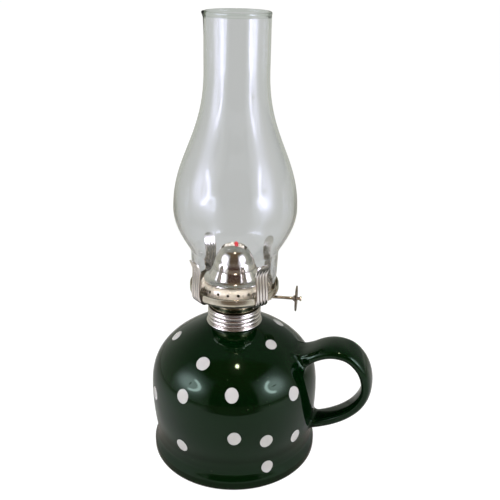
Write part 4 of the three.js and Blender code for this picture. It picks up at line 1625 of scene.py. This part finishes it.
            # The arc is half a ring, mirrored from one lamp to the other. The dim slit in
            # the cloth is thin across on the left, and thin in height on the right.
            facing, thin_x, thin_y = (1.0, 120, 10) if azimuth < 0 else (-1.0, 8, 120)
            strength = strength + nodes.ramp(r, radius, radius * 0.25) * middle_level
            arc = nodes.ramp((r - radius * 0.52).size(), radius * 0.16, radius * 0.04)
            strength = strength + arc * nodes.ramp(x * facing, -0.02, 0.07) * arc_level
            slit = (x * x * thin_x + y * y * thin_y) ** 0.5
            strength = strength * nodes.ramp(slit, 0.11, 0.24, 0.25, 1.0)
        else:
            strength = nodes.ramp(r, 0.5, 0.0) * glow_level
            strength = strength + nodes.ramp(r, radius, 0.0) ** 3.0 * middle_level
        nodes.end("ShaderNodeOutputLight", nodes.emission(color, strength))

    def surroundings(self):
        """Pale walls and ceiling; the room is dark where the camera stands."""
        stage = bpy.context.scene.lamp_stage
        world = bpy.data.worlds.new("studio")
        bpy.context.scene.world = world
        world.use_nodes = True
        nodes = Nodes(world.node_tree)
        camera, through, mirrored, scattered = self.kinds(nodes)
        (way,) = nodes.outputs("ShaderNodeTexCoord", "Generated")
        _, _, rise = nodes.spread(way)
        ahead, aside, open_side = self.opening(nodes, way)
        # The tent is open in front and overhead, but not at its back
        open_top = open_side.most(nodes.ramp(rise, 0.7, 0.84))
        open_top = open_top * nodes.ramp(ahead + 0.62 - rise * 0.78, -0.05, 0.06)
        # It gets darker higher up, and in its far right corner
        high = nodes.ramp(rise, 0.25, 0.8).most(nodes.ramp(aside - ahead * 0.9, 0.95, 1.25))
        walls = nodes.mix(high, opaque(stage.wall), opaque(stage.ceiling))
        warm = nodes.mix(high, opaque(stage.dark_room), opaque(stage.warm_room))
        seen = nodes.mix(open_top, walls, warm)
        low, top = stage.fill * 0.5, stage.fill * 1.6
        even = nodes.mix(nodes.ramp(rise, 0.0, 1.0), (low, low, low, 1.0), (top, top, top, 1.0))
        shown = nodes.mix(mirrored, even, seen)
        shown = nodes.mix(through, shown, opaque(stage.through_glass))
        shown = nodes.mix(camera, shown, self.white)
        strength = 1 + through * scattered * self.glass_gain
        background = nodes.node("ShaderNodeBackground", None, {"Color": shown, "Strength": strength})
        nodes.end("ShaderNodeOutputWorld", background)


# Settings, panel and registration


class LampFontSettings(bpy.types.PropertyGroup):
    foot_radius: FloatProperty(
        name="Foot radius",
        description="Outside radius of the font's foot",
        default=0.0616,
        unit="LENGTH",
    )
    waist_radius: FloatProperty(
        name="Waist radius", description="Radius just above the foot", default=0.0591, unit="LENGTH"
    )
    belly_radius: FloatProperty(
        name="Belly radius", description="Largest radius of the font", default=0.0617, unit="LENGTH"
    )


class LampChimneySettings(bpy.types.PropertyGroup):
    wall: FloatProperty(
        name="Glass wall", description="Thickness of the chimney's glass", default=0.0018, unit="LENGTH"
    )


class LampFinishSettings(bpy.types.PropertyGroup):
    glaze_deep: FloatVectorProperty(
        name="Deep glaze",
        description="Glaze where it lies thick",
        subtype="COLOR",
        default=(0.0003, 0.0050, 0.0006),
    )
    glaze_mid: FloatVectorProperty(
        name="Thin glaze",
        description="Glaze where it lies thin",
        subtype="COLOR",
        default=(0.0007, 0.0088, 0.0013),
    )
    dot_color: FloatVectorProperty(
        name="Dots",
        description="Slip of the painted dots",
        subtype="COLOR",
        default=(0.53, 0.515, 0.44),
    )
    nickel_color: FloatVectorProperty(
        name="Nickel", description="Plated sheet metal", subtype="COLOR", default=(0.88, 0.82, 0.75)
    )
    pan_color: FloatVectorProperty(
        name="Gallery",
        description="Yellowed plate of the gallery",
        subtype="COLOR",
        default=(0.68, 0.63, 0.5),
    )
    screen_color: FloatVectorProperty(
        name="Screen",
        description="Dull plate of the air screen",
        subtype="COLOR",
        default=(1.0, 0.86, 0.68),
    )
    brass_color: FloatVectorProperty(
        name="Brass",
        description="Bare brass of the inner parts",
        subtype="COLOR",
        default=(0.9, 0.79, 0.6),
    )
    aged_color: FloatVectorProperty(
        name="Aged brass",
        description="Darkened neck of the burner",
        subtype="COLOR",
        default=(0.4, 0.36, 0.22),
    )
    worn_color: FloatVectorProperty(
        name="Worn plate",
        description="Thumb wheel, handled and dulled",
        subtype="COLOR",
        default=(0.3, 0.25, 0.19),
    )
    glass_color: FloatVectorProperty(
        name="Glass", description="Tint of the chimney", subtype="COLOR", default=(0.96, 0.97, 0.97)
    )
    cotton_color: FloatVectorProperty(
        name="Cotton", description="Unburnt wick", subtype="COLOR", default=(1.0, 0.9, 0.8)
    )
    tracer_color: FloatVectorProperty(
        name="Tracer",
        description="Coloured warp thread of the wick",
        subtype="COLOR",
        default=(0.62, 0.03, 0.04),
    )


class LampStageSettings(bpy.types.PropertyGroup):
    fill: FloatProperty(name="Fill", description="Strength of the even light", default=0.34)
    lamp_level: FloatProperty(name="Lamps", description="Level of the lamps", default=1.0)
    through_glass: FloatVectorProperty(
        name="Behind glass",
        description="Backdrop as the glass shows it",
        subtype="COLOR",
        default=(0.56, 0.565, 0.56),
    )
    wall: FloatVectorProperty(
        name="Walls",
        description="Walls as metal shows them",
        subtype="COLOR",
        default=(0.5, 0.515, 0.47),
    )
    ceiling: FloatVectorProperty(
        name="Ceiling",
        description="Ceiling as metal shows it",
        subtype="COLOR",
        default=(0.26, 0.28, 0.26),
    )
    dark_room: FloatVectorProperty(
        name="Dark side",
        description="Room behind the camera",
        subtype="COLOR",
        default=(0.065, 0.038, 0.031),
    )
    warm_room: FloatVectorProperty(
        name="Warm side",
        description="Room above the camera",
        subtype="COLOR",
        default=(0.14, 0.09, 0.05),
    )
    table: FloatVectorProperty(
        name="Table", description="Table beyond the paper", subtype="COLOR", default=(0.2, 0.16, 0.13)
    )


OPERATORS = (
    LAMP_OT_camera,
    LAMP_OT_stage,
    LAMP_OT_font,
    LAMP_OT_collar,
    LAMP_OT_shell,
    LAMP_OT_cup,
    LAMP_OT_gallery,
    LAMP_OT_screen,
    LAMP_OT_prongs,
    LAMP_OT_dome,
    LAMP_OT_shaft,
    LAMP_OT_wheel,
    LAMP_OT_wick,
    LAMP_OT_chimney,
    LAMP_OT_inner_parts,
)


class VIEW3D_PT_lamp(bpy.types.Panel):
    """Lists the lamp's pieces in the order they are built"""

    bl_label = "Kerosene lamp"
    bl_idname = "VIEW3D_PT_lamp"
    bl_space_type = "VIEW_3D"
    bl_region_type = "UI"
    bl_category = "Lamp"

    def draw(self, context):
        scene = context.scene
        for group in (scene.lamp_font, scene.lamp_chimney, scene.lamp_finishes, scene.lamp_stage):
            box = self.layout.box()
            for name in group.bl_rna.properties.keys():
                if name not in {"rna_type", "name"}:
                    box.prop(group, name)
        for operator in OPERATORS:
            self.layout.operator(operator.bl_idname)


SETTINGS = {
    "lamp_font": LampFontSettings,
    "lamp_chimney": LampChimneySettings,
    "lamp_finishes": LampFinishSettings,
    "lamp_stage": LampStageSettings,
}


def register():
    for group in SETTINGS.values():
        bpy.utils.register_class(group)
    for key, group in SETTINGS.items():
        setattr(bpy.types.Scene, key, PointerProperty(type=group))
    for operator in OPERATORS:
        bpy.utils.register_class(operator)
    bpy.utils.register_class(VIEW3D_PT_lamp)


def unregister():
    bpy.utils.unregister_class(VIEW3D_PT_lamp)
    for operator in reversed(OPERATORS):
        bpy.utils.unregister_class(operator)
    for key, group in SETTINGS.items():
        delattr(bpy.types.Scene, key)
        bpy.utils.unregister_class(group)


def main():
    register()
    for operator in OPERATORS:
        group, _, name = operator.bl_idname.partition(".")
        getattr(getattr(bpy.ops, group), name)()


if __name__ == "__main__":
    main()
